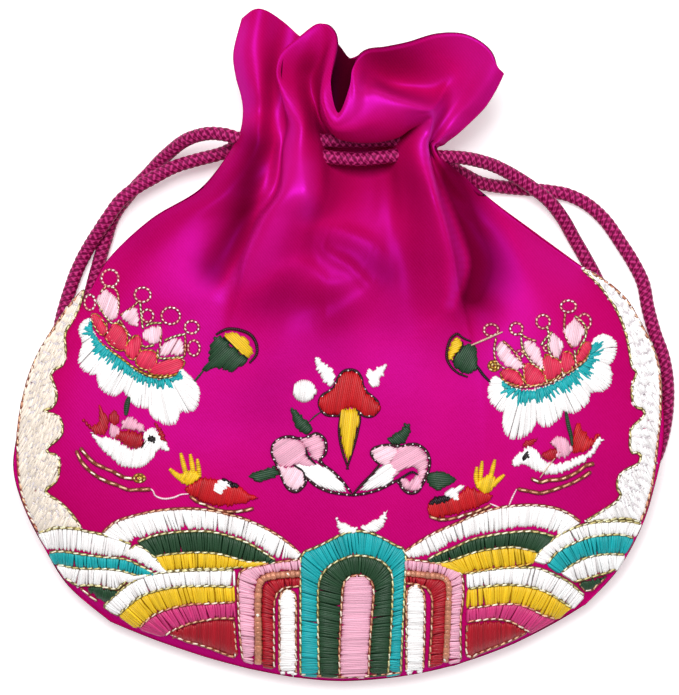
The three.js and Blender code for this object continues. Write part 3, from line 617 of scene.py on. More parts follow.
def fromSeam(x, y):
    # distance to the nearest stretch of the seam, seen from above
    place = np.stack([x, y], -1)[..., None, :]
    a, b = seamPath[:-1], seamPath[1:]
    t = np.clip(((place - a) * (b - a)).sum(-1) / ((b - a) ** 2).sum(-1), 0, 1)
    return np.linalg.norm(place - a - t[..., None] * (b - a), axis=-1).min(-1)


def bulge(distance, span):
    # (1 - (1 - share)^edge)^full of the share of the way in
    return (1 - (1 - np.minimum(1, distance / span)) ** size["crownEdge"]) ** size["crownFull"]


def fading(distance, reach):
    # half a cosine from 1 to 0 over the reach
    return np.where(distance < reach, 0.5 * (1 + np.cos(math.pi * distance / reach)), 0)


def faceColumns():
    left, _, right, _, middle, _, crown, _ = rowEnds()
    below = size["bodyHeight"] - middle
    gather = np.clip(1 - below / (size["gatherReach"] * size["bodyHeight"]), 0, 1) ** size["gatherPower"]
    columns = []
    for belly, reach, height, *frill in faceFolds:
        share = belly + ((frill[0][0] + 1) / 2 - belly) * gather
        x, y, z = alongRows(share)
        lift = height * size["neckDepth"] * fading(below, reach * size["bodyHeight"])
        rise = crown * bulge(fromSeam(x, y), (right - left) / 2)
        columns.append(np.vstack([np.stack([x, y, z + rise + lift], 1), inFrill(frill)]))
    return np.array(columns)


def backColumns(face):
    _, _, _, _, middle, _, _, under = rowEnds()
    pleated = fading(size["bodyHeight"] - middle, size["pleatReach"] * size["bodyHeight"])
    stations = np.linspace(0, 1, 7)
    a, b = face[0, len(bodyRows):], face[-1, len(bodyRows):]
    columns = []
    for at, neck, hem, drop in backPleats:
        x, y, z = alongRows(at)
        height = z * np.maximum(0, 1 - fromSeam(x, y) / under) ** size["rimPower"]
        height = height + (np.maximum(height, neck * size["neckDepth"]) - height) * pleated
        frill = a + (b - a) * at
        frill[:, 1] -= drop * stations * size["frillHeight"]
        if 0 < at < 1:
            frill[:, 2] = (neck + (hem - neck) * stations) * size["neckDepth"]
        columns.append(np.vstack([np.stack([x, y, height], 1), frill]))
    return np.array(columns)


cloth = {
    "perFold": 10, "perRow": 11, "backPerFold": 12, "seamGap": 0.15,
    "extraRows": (0.03, 0.06, 0.12),        # close rows at the bottom seam
    "creaseFade": 6, "wideCrease": 5, "widePasses": 14,
    "clearReach": 3, "clearMost": 1.2,      # how the face keeps above its lining near the seam
    "thinReach": 1.6, "thinLeast": 0.12, "edgeStep": 0.02,
    # the back's tone is one even painted shade
    "backPaintedShade": -0.3, "flat": (0.15, 0.15), "area": 0.0150,
}

# Creases of the face: height in millimetres, reach to the left and right of the line's own heading, and
# the line itself in pixels of the photograph.
creases = [
    (2.8, 8.0, 2.2, [(286, 132), (277, 165), (268, 190), (257, 229), (241, 268), (219, 300)]),
    (-1.8, 4.0, 5.0, [(262, 140), (256, 170), (249, 200), (238, 232), (218, 268)]),
    (4.4, 1.6, 7.0, [(428, 132), (424, 154), (431, 179), (445, 209), (455, 241), (463, 264), (457, 284),
                     (449, 302), (446, 316)]),
    (-2.4, 7.0, 2.5, [(445, 186), (456, 214), (468, 243), (473, 270), (468, 298)]),
    (1.2, 3.0, 5.0, [(449, 316), (462, 312), (477, 314), (500, 321)]),
    (0.9, 1.2, 3.0, [(314, 229), (340, 231), (360, 238), (376, 247)]),
    (0.7, 1.2, 1.2, [(316, 237), (328, 254), (348, 266), (364, 282), (374, 290)]),
    (0.9, 1.4, 3.4, [(277, 273), (292, 268), (308, 268), (328, 284), (358, 282)]),
    (0.7, 1.4, 2.6, [(310, 323), (338, 312), (358, 300), (374, 288)]),
    (-0.9, 3.0, 3.0, [(324, 248), (345, 253), (366, 262)]),
    (-1.1, 4.0, 4.0, [(266, 300), (295, 306), (326, 306)]),
    (0.8, 4.0, 1.6, [(312, 170), (309, 190), (309, 212), (312, 226)]),
    (-0.8, 3.0, 3.0, [(408, 165), (412, 200), (418, 235)]),
]

# Painted light and shade of the satin: how strongly each stroke paints shade (below 0) or a violet sheen
# (above), with the reach in millimetres and the line in pixels of the photograph; shade along creases'
# valleys and hollows, sheen along ridges and lit places.
tones = [
    (-1.0, 4.5, [(258, 150), (252, 185), (246, 212), (234, 240), (216, 268)]),
    (-0.95, 6.0, [(452, 180), (468, 208), (482, 236), (488, 266), (478, 298)]),
    (-0.25, 5.5, [(326, 178), (350, 188), (380, 190), (404, 182)]),
    (-0.4, 3.6, [(324, 248), (345, 253), (368, 264), (384, 276)]),
    (-0.45, 5.0, [(258, 300), (295, 305), (330, 304)]),
    (-0.35, 7.0, [(150, 232), (180, 205), (205, 185)]),
    (-0.25, 4.0, [(263, 30), (262, 70), (268, 104)]),
    (-0.35, 3.2, [(308, 60), (312, 95), (316, 128)]),
    (-0.45, 5.0, [(372, 52), (398, 66), (424, 78), (446, 74)]),
    (-0.15, 2.4, [(352, 130), (378, 134), (402, 128)]),
    (-0.35, 7.0, [(395, 262), (410, 290), (400, 322)]),
    (0.6, 4.6, [(346, 108), (366, 96), (392, 102), (412, 110)]),
    (0.7, 6.5, [(468, 52), (482, 72), (478, 98), (458, 122)]),
    (0.6, 3.4, [(244, 36), (241, 70), (247, 104)]),
    (0.55, 4.0, [(288, 110), (291, 150), (282, 195), (268, 235), (250, 275)]),
    (0.8, 2.2, [(309, 170), (308, 195), (309, 214)]),
    (0.7, 2.4, [(430, 145), (438, 185), (450, 220), (460, 255), (456, 285)]),
    (0.2, 8.0, [(190, 260), (225, 300), (236, 330)]),
    (0.25, 8.0, [(400, 352), (440, 330), (500, 320)]),
    (0.5, 5.0, [(505, 215), (540, 250), (570, 270)]),
    (-0.2, 6.0, [(330, 345), (290, 360), (262, 400)]),
    (0.5, 5.0, [(150, 185), (180, 165), (212, 150)]),
    (0.8, 1.3, [(284, 136), (276, 165), (267, 190), (256, 229), (240, 268), (222, 298)]),
    (1.0, 1.2, [(427, 134), (424, 154), (431, 179), (445, 209), (455, 241), (462, 264), (457, 284),
                (449, 304)]),
    (-0.7, 2.6, [(438, 168), (449, 196), (464, 232), (473, 264), (468, 292)]),
]


def onFace(line, count):
    # pixels to millimetres up from the bottom
    return evenly(fromPhoto(line) / mm + (0, size["originUp"]), count)


def paintedShadeAndSheenAt(x, y):
    # painted shade and sheen of the satin: the sum of strength * exp(-(distance / reach)^2) over the lines
    total = np.zeros(x.shape)
    for strength, reach, line in tones:
        path = onFace(line, 24)
        apart = np.hypot(x[..., None] - path[:, 0], y[..., None] - path[:, 1]).min(-1)
        total += strength * np.exp(-(apart / reach) ** 2)
    return total


def blurred(field, times):
    # each value becomes half of itself and a quarter of either neighbour, along both axes
    for _ in range(times):
        for axis in (0, 1):
            padded = np.pad(field, [(1, 1) if k == axis else (0, 0) for k in (0, 1)], mode="edge")
            low, high = (padded[:-2], padded[2:]) if axis == 0 else (padded[:, :-2], padded[:, 2:])
            field = field * 0.5 + (low + high) * 0.25
    return field


def seamAt(rows):
    return catmull(bodyRows[:, 5] * size["seamHeight"], np.clip(rows, 0, len(bodyRows) - 1))[:, None]


def creased(grid, rows):
    # z += height * taper * exp(-(distance / reach)^2), with its own reach on each side of the line and
    # a taper of sin(pi t)^0.6 along it; the creases die out just above the neck
    inBody = np.clip(len(bodyRows) - rows, 0, 1)[:, None]
    for height, leftReach, rightReach, line in creases:
        path = onFace(line, 40)
        toward = np.gradient(path, axis=0)
        toward /= np.linalg.norm(toward, axis=1, keepdims=True)
        taper = np.sin(np.linspace(0.04, 0.96, len(path)) * math.pi) ** 0.6
        x, y = grid[..., 0], grid[..., 1]
        apart = np.hypot(x[..., None] - path[:, 0], y[..., None] - path[:, 1])
        nearest = apart.argmin(-1)
        distance = apart.min(-1)
        across = toward[nearest, 0] * (y - path[nearest, 1]) - toward[nearest, 1] * (x - path[nearest, 0])
        reach = np.where(across > 0, leftReach, rightReach)
        inside = np.clip(fromSeam(x, y) / cloth["creaseFade"], 0, 1)
        lift = height * taper[nearest] * inside * inBody * np.exp(-(distance / reach) ** 2)
        wide = max(leftReach, rightReach) > cloth["wideCrease"]
        grid[..., 2] += blurred(lift, cloth["widePasses"] if wide else 1)
    away = np.clip(fromSeam(grid[..., 0], grid[..., 1]) / cloth["clearReach"], 0, cloth["clearMost"])
    clear = seamAt(rows) + cloth["seamGap"] + size["wall"] * away
    grid[..., 2] = np.where(inBody == 1, np.maximum(grid[..., 2], clear), grid[..., 2])
    return grid


def fineGrid(columns, perFold, perRow):
    # Catmull-Rom along every column, then across the columns
    rows = np.linspace(0, columns.shape[1] - 1, (columns.shape[1] - 1) * perRow + 1)
    rows = np.unique(np.concatenate([rows, cloth["extraRows"]]))
    along = catmull(np.moveaxis(columns, 1, 0), rows)
    places = np.linspace(0, len(columns) - 1, (len(columns) - 1) * perFold + 1)
    grid = catmull(np.moveaxis(along, 1, 0), places)
    return np.moveaxis(grid, 0, 1), rows


def normalsOf(grid):
    # across the row crossed with up the column
    across = np.gradient(grid, axis=1)
    up = np.gradient(grid, axis=0)
    normal = np.cross(across, up)
    return normal / np.maximum(np.linalg.norm(normal, axis=-1, keepdims=True), 1e-9)


def makeShell(name, node, grid, rows, side, material):
    # outer grid, inner grid one wall further in, and a strip round the edge. In the body the wall
    # thins out towards the seam and its inner side stays on its own side of the seam's height.
    count = grid.shape[1]
    normal = normalsOf(grid) * side
    inBody = rows < len(bodyRows) - 0.999
    thickness = np.full(grid.shape[:2], size["wall"])
    near = np.clip(fromSeam(grid[..., 0], grid[..., 1]) / cloth["thinReach"], cloth["thinLeast"], 1)
    thickness[inBody] *= near[inBody]
    outer = grid.copy()
    edge = np.zeros(grid.shape[:2], bool)
    edge[0] = edge[:, 0] = edge[:, -1] = True
    outer[edge, 2] += cloth["seamGap"] * side
    inner = outer - normal * thickness[..., None]
    split = seamAt(rows) + cloth["seamGap"] * side
    kept = np.maximum(inner[..., 2], split) if side > 0 else np.minimum(inner[..., 2], split)
    inner[inBody, :, 2] = kept[inBody]
    inner[edge & inBody[:, None]] = outer[edge & inBody[:, None]] + (0, 0, cloth["edgeStep"] * side)
    half = grid.shape[0] * count
    quads = gridFaces(grid.shape[0], count)
    flipped = quads[:, ::-1]
    last = grid.shape[0] - 1
    outline = np.concatenate([
        np.arange(count - 1), np.arange(last) * count + count - 1,
        last * count + np.arange(count - 1, 0, -1), np.arange(last, 0, -1) * count])
    following = np.roll(outline, -1)
    rim = np.stack([outline, outline + half, following + half, following], axis=1)
    faces = [quads, flipped + half, rim] if side > 0 else [flipped, quads + half, rim[:, ::-1]]
    vertices = np.vstack([outer.reshape(-1, 3), inner.reshape(-1, 3)])
    vertices[:, 1] -= size["originUp"]
    piece = newMesh(name, vertices * mm, np.vstack(faces), material)
    inside = piece.data.attributes.new("inside", "FLOAT", "POINT")
    inside.data.foreach_set("value", np.repeat([0.0, 1.0], half))
    # the tone attribute: painted shade and sheen strokes on the face, one even painted shade on the back,
    # none on the inner side
    tone = piece.data.attributes.new("tone", "FLOAT", "POINT")
    shade = paintedShadeAndSheenAt(grid[..., 0], grid[..., 1]).ravel() if side > 0 else np.full(half, cloth["backPaintedShade"])
    tone.data.foreach_set("value", np.concatenate([shade, np.zeros(half)]))
    dress(piece, node)


satinMaterial = makeSatin()
faceCoarse = faceColumns()
faceGrid, faceRowsAt = fineGrid(faceCoarse, cloth["perFold"], cloth["perRow"])
faceGrid = creased(faceGrid, faceRowsAt)
backGrid, backRowsAt = fineGrid(backColumns(faceCoarse), cloth["backPerFold"], cloth["perRow"])
backGrid[..., 2] = np.maximum(backGrid[..., 2], 0)
makeShell("satin_face", "front_panel", faceGrid, faceRowsAt, 1, satinMaterial)
makeShell("satin_back", "back_panel", backGrid, backRowsAt, -1, satinMaterial)
print("cloth ready")


# Embroidery. Every shape is read from the photograph in its pixels; threads lie on a map of the
# face's heights, with the pixels drawn in a little where the cloth stands nearer to the camera.

stitch = {
    "pitch": 0.36, "width": 0.56, "pad": 0.42, "bury": 0.16,     # millimetres
    "margin": 0.9,          # how far the stitches keep from the bottom seam
    "stations": (0.0, 0.1, 0.3, 0.7, 0.9, 1.0), "arch": (0.0, 0.6, 1.0, 1.0, 0.6, 0.0),
    "across": (-0.5, -0.26, 0.26, 0.5), "round": (0.0, 0.48, 0.48, 0.0), "tip": 0.55,
    "widths": (0.88, 1.12), "pads": (0.85, 1.15),
    "uneven": 0.09,         # how much one thread's shade differs from the next
    "ragged": 0.16,         # how far a thread's ends stray
    "landings": 240,        # places on a band's inner line where a stitch can land
    "nearShare": 0.75,      # how far the nearest place counts, against the even one
    "settle": 9,            # stitches over which the landings are evened out
}
# The lower layer: how dark its painted shade between the threads is, how far down, how far in from the
# ends, width in pitches, share of the pad.
under = {"tint": 0.88, "drop": 0.34, "inset": 0.04, "width": 2.6, "pad": 0.75}
# Long rows: length of a stitch, how far its end sways, the shift from row to row, how uneven the cuts are.
brick = {"length": 2.2, "sway": 0.12, "shift": 0.37, "uneven": 0.2}
# Couched metal: width as a share of the thread's, arch height, and how low and how far past the core lies.
gold = {
    "bright": 0.8, "brightPad": 0.14, "core": 1.35, "corePad": 0.04, "coreDrop": 0.12, "overlap": 0.1,
    "ring": {"dash": 0.62, "gap": 0.22, "width": 0.5, "closed": True, "lift": 0.06}, "ringPoints": 12,
}
# The map of heights: its cells and half of its width in millimetres, samples between two grid points.
heightCells = {"cell": 0.5, "half": 75, "between": (0.0, 0.34, 0.67), "passes": 16}
silk = {
    "white": "fcf8f8", "cream": "f3e6d8", "grey": "d8d0d4", "teal": "0ea4aa", "green": "1e4228",
    "yellow": "e8be1a", "pink": "e8abc2", "rose": "cc3578", "darkRed": "a80c22", "red": "bc0a18",
    "coral": "d42850", "pale": "f8cedc", "black": "160810", "outline": "30040f", "beige": "d8b8a0",
    "thread": "f8d8e4",
}
# Metal threads: three colours for the lengths, the palest a painted glint, then the core under them, which
# shows in the gaps: for most a darker colour that paints the shade there, for the dots the dark outline
# thread.
metal = {
    "pale": ("efe6ae", "d8c884", "fff6d8", "7a6a3c"), "rose": ("f0c09a", "dc9a78", "ffe8d4", "8c4830"),
    "gold": ("e4b44a", "c48c2c", "ffe49a", "84561c"), "ring": ("fcd8c4", "f4b8a8", "fff0ea", "a83058"),
    "dot": ("ffffff", "f8e8f0", "ffffff", "30040f"), "rope": ("ffdcc0", "f4bc9c", "fff4ea", "c88468"),
}


def neighbours(field):
    return sum(np.roll(field, k, axis) for k in (-1, 1) for axis in (0, 1))


def heightMap(grid):
    # dense samples of the face between its grid points, averaged in square cells, gaps filled from
    # their neighbours
    body = grid[:int(cloth["perRow"] * (len(bodyRows) - 1)) + 3]
    points = []
    for u in heightCells["between"]:
        for v in heightCells["between"]:
            low = body[:-1, :-1] * (1 - u) + body[1:, :-1] * u
            high = body[:-1, 1:] * (1 - u) + body[1:, 1:] * u
            points.append((low * (1 - v) + high * v).reshape(-1, 3))
    x, y, z = np.vstack(points).T
    cell, half = heightCells["cell"], heightCells["half"]
    cells = int(2 * half / cell)
    i = np.clip(((x + half) / cell).astype(int), 0, cells - 1)
    j = np.clip(((y - size["originUp"] + half) / cell).astype(int), 0, cells - 1)
    total, count = np.zeros((cells, cells)), np.zeros((cells, cells))
    np.add.at(total, (i, j), z)
    np.add.at(count, (i, j), 1)
    for _ in range(heightCells["passes"]):
        near = neighbours(count)
        empty = (count == 0) & (near > 0)
        total[empty] = neighbours(total)[empty]
        count[empty] = near[empty]
        total = total / np.maximum(count, 1)
        count = np.minimum(count, 1)
    return total


heights = heightMap(faceGrid)


def clothHeight(x, y):
    # height of the face at a place, blended between the four cells round it
    u, v = (np.clip((np.asarray(a) + heightCells["half"]) / heightCells["cell"] - 0.5, 0, len(heights) - 2)
            for a in (x, y))
    i, j = u.astype(int), v.astype(int)
    s, t = u - i, v - j
    return ((heights[i, j] * (1 - s) + heights[i + 1, j] * s) * (1 - t)
            + (heights[i, j + 1] * (1 - s) + heights[i + 1, j + 1] * s) * t)


# The seam from its leftmost to its rightmost place, along the bottom.
bottomLine = seamPath - (0, size["originUp"])
bottomLine = bottomLine[bottomLine[:, 0].argmin():bottomLine[:, 0].argmax() + 1]


def onCloth(points):
    # pixels to millimetres; a place h above the seam is drawn in by h over the camera's distance
    # and no place comes closer to the bottom seam than the margin
    place = fromPhoto(points) / mm
    above = clothHeight(place[:, 0], place[:, 1]) - size["seamHeight"]
    place = place * (1 - above / (stage["distance"] / mm))[:, None]
    lowest = np.interp(place[:, 0], bottomLine[:, 0], bottomLine[:, 1]) + stitch["margin"]
    place[:, 1] = np.maximum(place[:, 1], lowest)
    return place


def threads(starts, ends, colour, width=None, pad=None, base=0.0):
    # each thread runs straight from start to end over an arch of the given height, half round across,
    # and dives into the cloth at both ends
    starts, ends = np.asarray(starts, float), np.asarray(ends, float)
    count = len(starts)
    width = (stitch["width"] if width is None else width) * rng.uniform(*stitch["widths"], count)
    pad = (stitch["pad"] if pad is None else pad) * rng.uniform(*stitch["pads"], count)
    t = np.array(stitch["stations"])[None, :, None]
    line = starts[:, None] + (ends - starts)[:, None] * t
    along = (ends - starts) / np.maximum(np.linalg.norm(ends - starts, axis=1, keepdims=True), 1e-6)
    side = np.stack([-along[:, 1], along[:, 0]], axis=1)
    arch = np.array(stitch["arch"])
    z = clothHeight(line[..., 0], line[..., 1]) + base + arch * pad[:, None] - (1 - arch) * stitch["bury"]
    narrow = np.where(arch > 0, 1.0, stitch["tip"])[None, :, None]
    across = width[:, None, None] * np.array(stitch["across"]) * narrow
    xy = line[:, :, None] + side[:, None, None] * across[..., None]
    up = z[..., None] + width[:, None, None] * np.array(stitch["round"])
    tint = np.broadcast_to(np.asarray(colour, float), (count, 3))
    tint = tint * (1 + stitch["uneven"] * rng.standard_normal((count, 1)))
    return np.concatenate([xy, up[..., None]], axis=-1).reshape(count, -1, 3), np.clip(tint, 0, 1)


def underlaid(starts, ends, tint, pad, base=0.0):
    # every second thread again, wide, low and darker, so that no satin shows between the threads; its
    # darker colour is painted shade between them
    top = threads(starts, ends, tint, pad=pad, base=base)
    pad = stitch["pad"] if pad is None else pad
    inset = under["inset"]
    first = starts[::2] * (1 - inset) + ends[::2] * inset
    last = ends[::2] * (1 - inset) + starts[::2] * inset
    low = threads(first, last, tint * under["tint"], width=stitch["pitch"] * under["width"],
                  pad=pad * under["pad"], base=base - under["drop"])
    return tuple(np.concatenate(pair) for pair in zip(top, low))


def evenPair(outer, inner, pitch):
    # stitches leave the outer line evenly and land mostly at the nearest place, partly in proportion
    a, b = onCloth(outer), onCloth(inner)
    count = max(3, int(max(lengthOf(a), lengthOf(b)) / pitch))
    last = stitch["landings"] - 1
    a, b = evenly(a, count), evenly(b, last + 1)
    nearest = np.linalg.norm(a[:, None] - b[None], axis=2).argmin(axis=1)
    nearest = np.maximum.accumulate(nearest)
    window = stitch["settle"]
    padded = np.pad(nearest, window // 2, mode="edge")
    nearest = np.convolve(padded, np.full(window, 1 / window), mode="valid")
    at = stitch["nearShare"] * nearest + (1 - stitch["nearShare"]) * np.linspace(0, last, count)
    at[0], at[-1] = 0, last
    return a, np.stack([np.interp(at, np.arange(last + 1), b[:, k]) for k in (0, 1)], axis=1)


def band(outer, inner, colour, pad=None, least=1.0, most=1.0):
    # satin stitches from one curve to the other, each reaching between the least and the most of the way
    a, b = evenPair(outer, inner, stitch["pitch"])
    reach = (b - a) * rng.uniform(least, most, (len(a), 1))
    a = a + rng.normal(0, stitch["ragged"] / 2, a.shape)
    reach = reach + rng.normal(0, stitch["ragged"], a.shape)
    return underlaid(a, a + reach, srgb(silk[colour]), pad)


def strip(path, width, colour, pad=None):
    # satin stitches square across a line
    line = onCloth(path)
    line = evenly(line, max(4, int(lengthOf(line) / stitch["pitch"])))
    along = np.gradient(line, axis=0)
    step = np.maximum(np.linalg.norm(along, axis=1, keepdims=True), 1e-9)
    side = np.stack([-along[:, 1], along[:, 0]], 1) / step
    taper = np.sin(np.linspace(0.12, 0.9, len(line)) * math.pi)[:, None] ** 0.4
    half = width * photo["scale"] / mm / 2 * taper
    return threads(line - side * half, line + side * half, srgb(silk[colour]), pad=pad)


def fill(outline, angle, colour, pad=None, split=None, sway=0.0, base=0.0, smooth=True, ragged=1.0):
    # rows of stitches clipped to the outline; long rows are cut into stitches laid like bricks
    edge = onCloth(outline)
    edge = evenly(edge, 12 * len(edge), closed=True) if smooth else np.vstack([edge, edge[:1]])
    turn = math.radians(angle)
    spin = np.array([[math.cos(turn), math.sin(turn)], [-math.sin(turn), math.cos(turn)]])
    flat = edge @ spin.T
    starts, ends = [], []
    for row, level in enumerate(np.arange(flat[:, 1].min() + 0.1, flat[:, 1].max(), stitch["pitch"])):
        a, b = flat[:-1], flat[1:]
        hit = (a[:, 1] > level) != (b[:, 1] > level)
        cuts = np.sort(a[hit, 0] + (level - a[hit, 1]) / (b[hit, 1] - a[hit, 1]) * (b[hit, 0] - a[hit, 0]))
        for left, right in zip(cuts[::2], cuts[1::2]):
            places = np.array([left, right])
            if split:
                inside = np.arange(left + split * ((row * brick["shift"]) % 1), right, split)[1:]
                inside = inside + rng.uniform(-brick["uneven"], brick["uneven"], len(inside)) * split
                places = np.concatenate([[left], inside, [right]])
            starts += [(p, level) for p in places[:-1]]
            ends += [(p, level) for p in places[1:]]
    starts, ends = np.array(starts), np.array(ends)
    stray = rng.normal(0, stitch["ragged"] * ragged, (2, len(starts)))
    starts[:, 0] += stray[0]
    ends[:, 0] += stray[1]
    if sway:
        ends = ends + np.stack([np.zeros(len(ends)), rng.normal(0, sway, len(ends))], axis=1)
    return underlaid(starts @ spin, ends @ spin, srgb(silk[colour]), pad, base)


def bricks(*shape):
    return fill(*shape, split=brick["length"], sway=brick["sway"])


def couch(path, tone, dash=1.25, gap=0.22, width=0.46, closed=False, lift=0.3, lean=0.1):
    # a dark core with short bright lengths of metal thread held down on it; each length takes one of three
    # colours, the palest a painted glint, and the dark core paints the shade in the gaps between them
    line = onCloth(path)
    length = lengthOf(evenly(line, 200, closed=closed))
    count = max(2, int(length / (dash + gap)))
    ends = evenly(line, count + 1, closed=closed)
    a, b = ends[:-1], ends[1:]
    along = (b - a) / np.linalg.norm(b - a, axis=1, keepdims=True)
    side = np.stack([-along[:, 1], along[:, 0]], axis=1)
    *glints, core = (srgb(code) for code in metal[tone])
    tones = np.array(glints)[rng.integers(0, 3, count)]
    inset = along * gap / 2
    tilt = side * lean
    bright = threads(a + inset - tilt, b - inset + tilt, tones, width=width * gold["bright"],
                     pad=gold["brightPad"], base=lift)
    over = along * gold["overlap"]
    # the core: painted shade in the gaps between the lengths
    dark = threads(a - over, b + over, core, width=width * gold["core"], pad=gold["corePad"],
                   base=lift - gold["coreDrop"])
    return [bright, dark]


def ring(middle, reach, tone):
    turn = np.linspace(0, 2 * math.pi, gold["ringPoints"], endpoint=False)
    path = np.array(middle) + np.stack([np.cos(turn), np.sin(turn)], axis=1) * reach
    return couch(path, tone, **gold["ring"])


threadMaterials = {slot: makeThread(slot) for slot in threadLooks}


def stitched(name, work, slot):
    # one mesh of many threads: rings of four points, four faces round, closed at both ends
    rings, sides = len(stitch["stations"]), len(stitch["across"])
    each = rings * sides
    vertices = np.concatenate([w[0] for w in work]).reshape(-1, 3)
    count = len(vertices) // each
    first, last = np.arange(sides)[::-1], np.arange(each - sides, each)
    one = np.vstack([gridFaces(rings, sides, closed=True), first, last])
    faces = (one[None] + each * np.arange(count)[:, None, None]).reshape(-1, 4)
    mesh = bpy.data.meshes.new(name)
    mesh.vertices.add(len(vertices))
    mesh.vertices.foreach_set("co", (vertices * mm).ravel())
    mesh.loops.add(faces.size)
    mesh.loops.foreach_set("vertex_index", faces.ravel())
    mesh.polygons.add(len(faces))
    mesh.polygons.foreach_set("loop_start", np.arange(0, faces.size, 4))
    mesh.polygons.foreach_set("use_smooth", np.ones(len(faces), bool))
    mesh.materials.append(threadMaterials[slot])
    mesh.update(calc_edges=True)
    mesh.validate()
    colour = mesh.color_attributes.new("thread", "FLOAT_COLOR", "POINT")
    tints = np.repeat(np.concatenate([w[1] for w in work]), each, axis=0)
    colour.data.foreach_set("color", np.concatenate([tints, np.ones((len(tints), 1))], axis=1).ravel())
    dress(link(name, mesh))
    print(name, count, "threads", 2 * len(one) * count, "triangles")


makers = {"band": band, "strip": strip, "fill": fill, "bricks": bricks, "gold": couch, "ring": ring}


def sew(name, lines, shapes):
    # a motif's shapes in order, where a line's name stands for its points; silk and metal make one
    # piece each
    silkWork, metalWork = [], []
    for kind, *rest in shapes:
        for k in range(2 if kind == "band" else 1):
            rest[k] = lines[rest[k]] if isinstance(rest[k], str) else rest[k]
        made = makers[kind](*rest)
        if kind in ("gold", "ring"):
            metalWork += made
        else:
            silkWork.append(made)
    stitched(f"{name}_silk", silkWork, "silk_thread")
    stitched(f"{name}_gold", metalWork, "gold_thread")


# Clouds down both sides.
cloudLeft = {
    "inner": [
        (84, 290), (79, 308), (72, 322), (65, 334), (66, 352), (63, 365), (51, 373), (57, 394), (53, 407),
        (43, 411), (59, 417), (62, 434), (45, 451), (59, 457), (57, 480), (45, 491), (60, 502), (72, 514),
        (81, 527)],
    "outer": [
        (83, 291), (72, 303), (57, 324), (38, 355), (26, 388), (19, 424), (18, 457), (22, 493), (30, 520),
        (38, 536)],
    "foot": [(39, 538), (45, 531), (56, 527), (74, 528), (81, 528)],
}
cloudRight = {
    "inner": [
        (583, 270), (598, 284), (611, 301), (618, 313), (625, 331), (629, 349), (632, 367), (637, 373),
        (632, 384), (632, 398), (636, 407), (646, 411), (640, 420), (631, 428), (630, 438), (630, 448),
        (633, 454), (640, 452), (641, 458), (638, 464), (629, 468), (620, 474), (617, 483), (618, 492),
        (621, 495), (617, 501), (608, 507), (591, 518), (586, 521)],
    "outer": [
        (584, 269), (600, 278), (611, 286), (626, 300), (637, 318), (652, 347), (659, 372), (660, 412),
        (656, 453), (652, 483), (645, 510), (640, 521)],
    "foot": [(586, 521), (605, 520), (625, 518), (640, 522)],
}


def sewCloud(name, lines, footStep, crossAngle, angle, colour):
    # brick-laid filling over a cross layer, scalloped inner edge in gold
    outline = lines["outer"] + lines["foot"][::footStep] + lines["inner"][::-1]
    sew(name, lines, [
        ("fill", outline, crossAngle, "grey", 0.12, 3.0, 0.1, 0.0, False),
        ("bricks", outline, angle, colour, 0.3),
        ("gold", "inner", "pale"), ("gold", "outer", "rose"), ("gold", "foot", "pale"),
    ])


sewCloud("cloud_left", cloudLeft, 1, 150, 62, "cream")
sewCloud("cloud_right", cloudRight, -1, 30, 118, "white")

# Wave hills: each is a stack of bands; the line between two bands is held down in gold.
hillsLeft = {
    "farTop": [
        (38.5, 539.6), (46, 531), (56, 528), (74, 528.6), (88, 531.5), (103, 534.5), (118, 539),
        (131, 544)],
    "farTeal": [(48, 552), (61, 549), (76, 551), (91, 553), (106, 556), (124, 556)],
    "farTealTop": [(50, 553), (62, 551.3), (81, 554), (103, 557), (125, 559), (141, 566), (153, 572.6)],
    "farWhite": [(57.5, 567), (76, 568), (97, 568.5), (115, 569.5), (130, 573), (140, 576), (151, 574)],
    "farGreen": [(66, 582), (76.6, 585), (87, 585), (97, 585.5), (109, 588), (117, 589), (128, 579)],
    "farWedge": [
        (88, 588.8), (97, 586.5), (109, 589.5), (117, 592), (110.4, 600), (104.5, 603), (97, 597)],
    "farStub": [
        (125, 555), (136, 545), (147, 550), (159, 561.6), (166, 571), (156, 572), (144, 565), (133, 559)],
    "upperTop": [
        (103, 532.3), (115, 522), (132.4, 516), (154.4, 511), (176.4, 508.8), (198.4, 508.8),
        (220.4, 512.5), (245, 519), (271, 531), (290, 544), (299.5, 553.5)],
    "upperGreen": [
        (127, 541), (139, 537), (154.4, 533), (176.4, 529), (198.4, 528.5), (220.4, 531.5), (245, 539),
        (262, 548), (276, 557), (297, 558)],
    "upperGreenTop": [
        (138, 541.5), (154.4, 535.5), (176.4, 532), (202.8, 531), (220.4, 533.5), (245, 541.5),
        (262, 551), (275, 560)],
    "upperYellow": [
        (155.8, 556), (169, 554), (183.7, 552.8), (198.4, 552.2), (217.4, 553.5), (232, 557), (249, 562),
        (268, 562)],
    "upperFoot": [(166, 571), (180.8, 570), (198.4, 568.6), (220.4, 568.4), (238, 567), (247, 566)],
    "lowerTop": [
        (104.5, 605.6), (115, 595), (129.4, 583.6), (147, 574.8), (169, 571.9), (191, 570.4),
        (220.4, 569.8), (233, 570.4)],
    "lowerYellow": [
        (119, 614.5), (128, 606), (140, 597), (155, 591), (176.4, 587), (205.7, 585.8), (233, 587)],
    "lowerRose": [(139.7, 627.5), (151.4, 616.5), (167.6, 609), (191, 604.3), (213, 603.3), (234, 602)],
    "lowerRed": [(165, 635), (176.4, 628.5), (191, 623), (205.7, 620), (220.4, 618), (234.5, 618.5)],
    "lowerWedge": [
        (170.5, 633.5), (183.7, 627.5), (198.4, 622.3), (220.4, 620), (234, 621.5), (235.3, 640),
        (235.5, 656.5), (220.4, 652), (205.7, 646.5), (183.7, 640)],
}
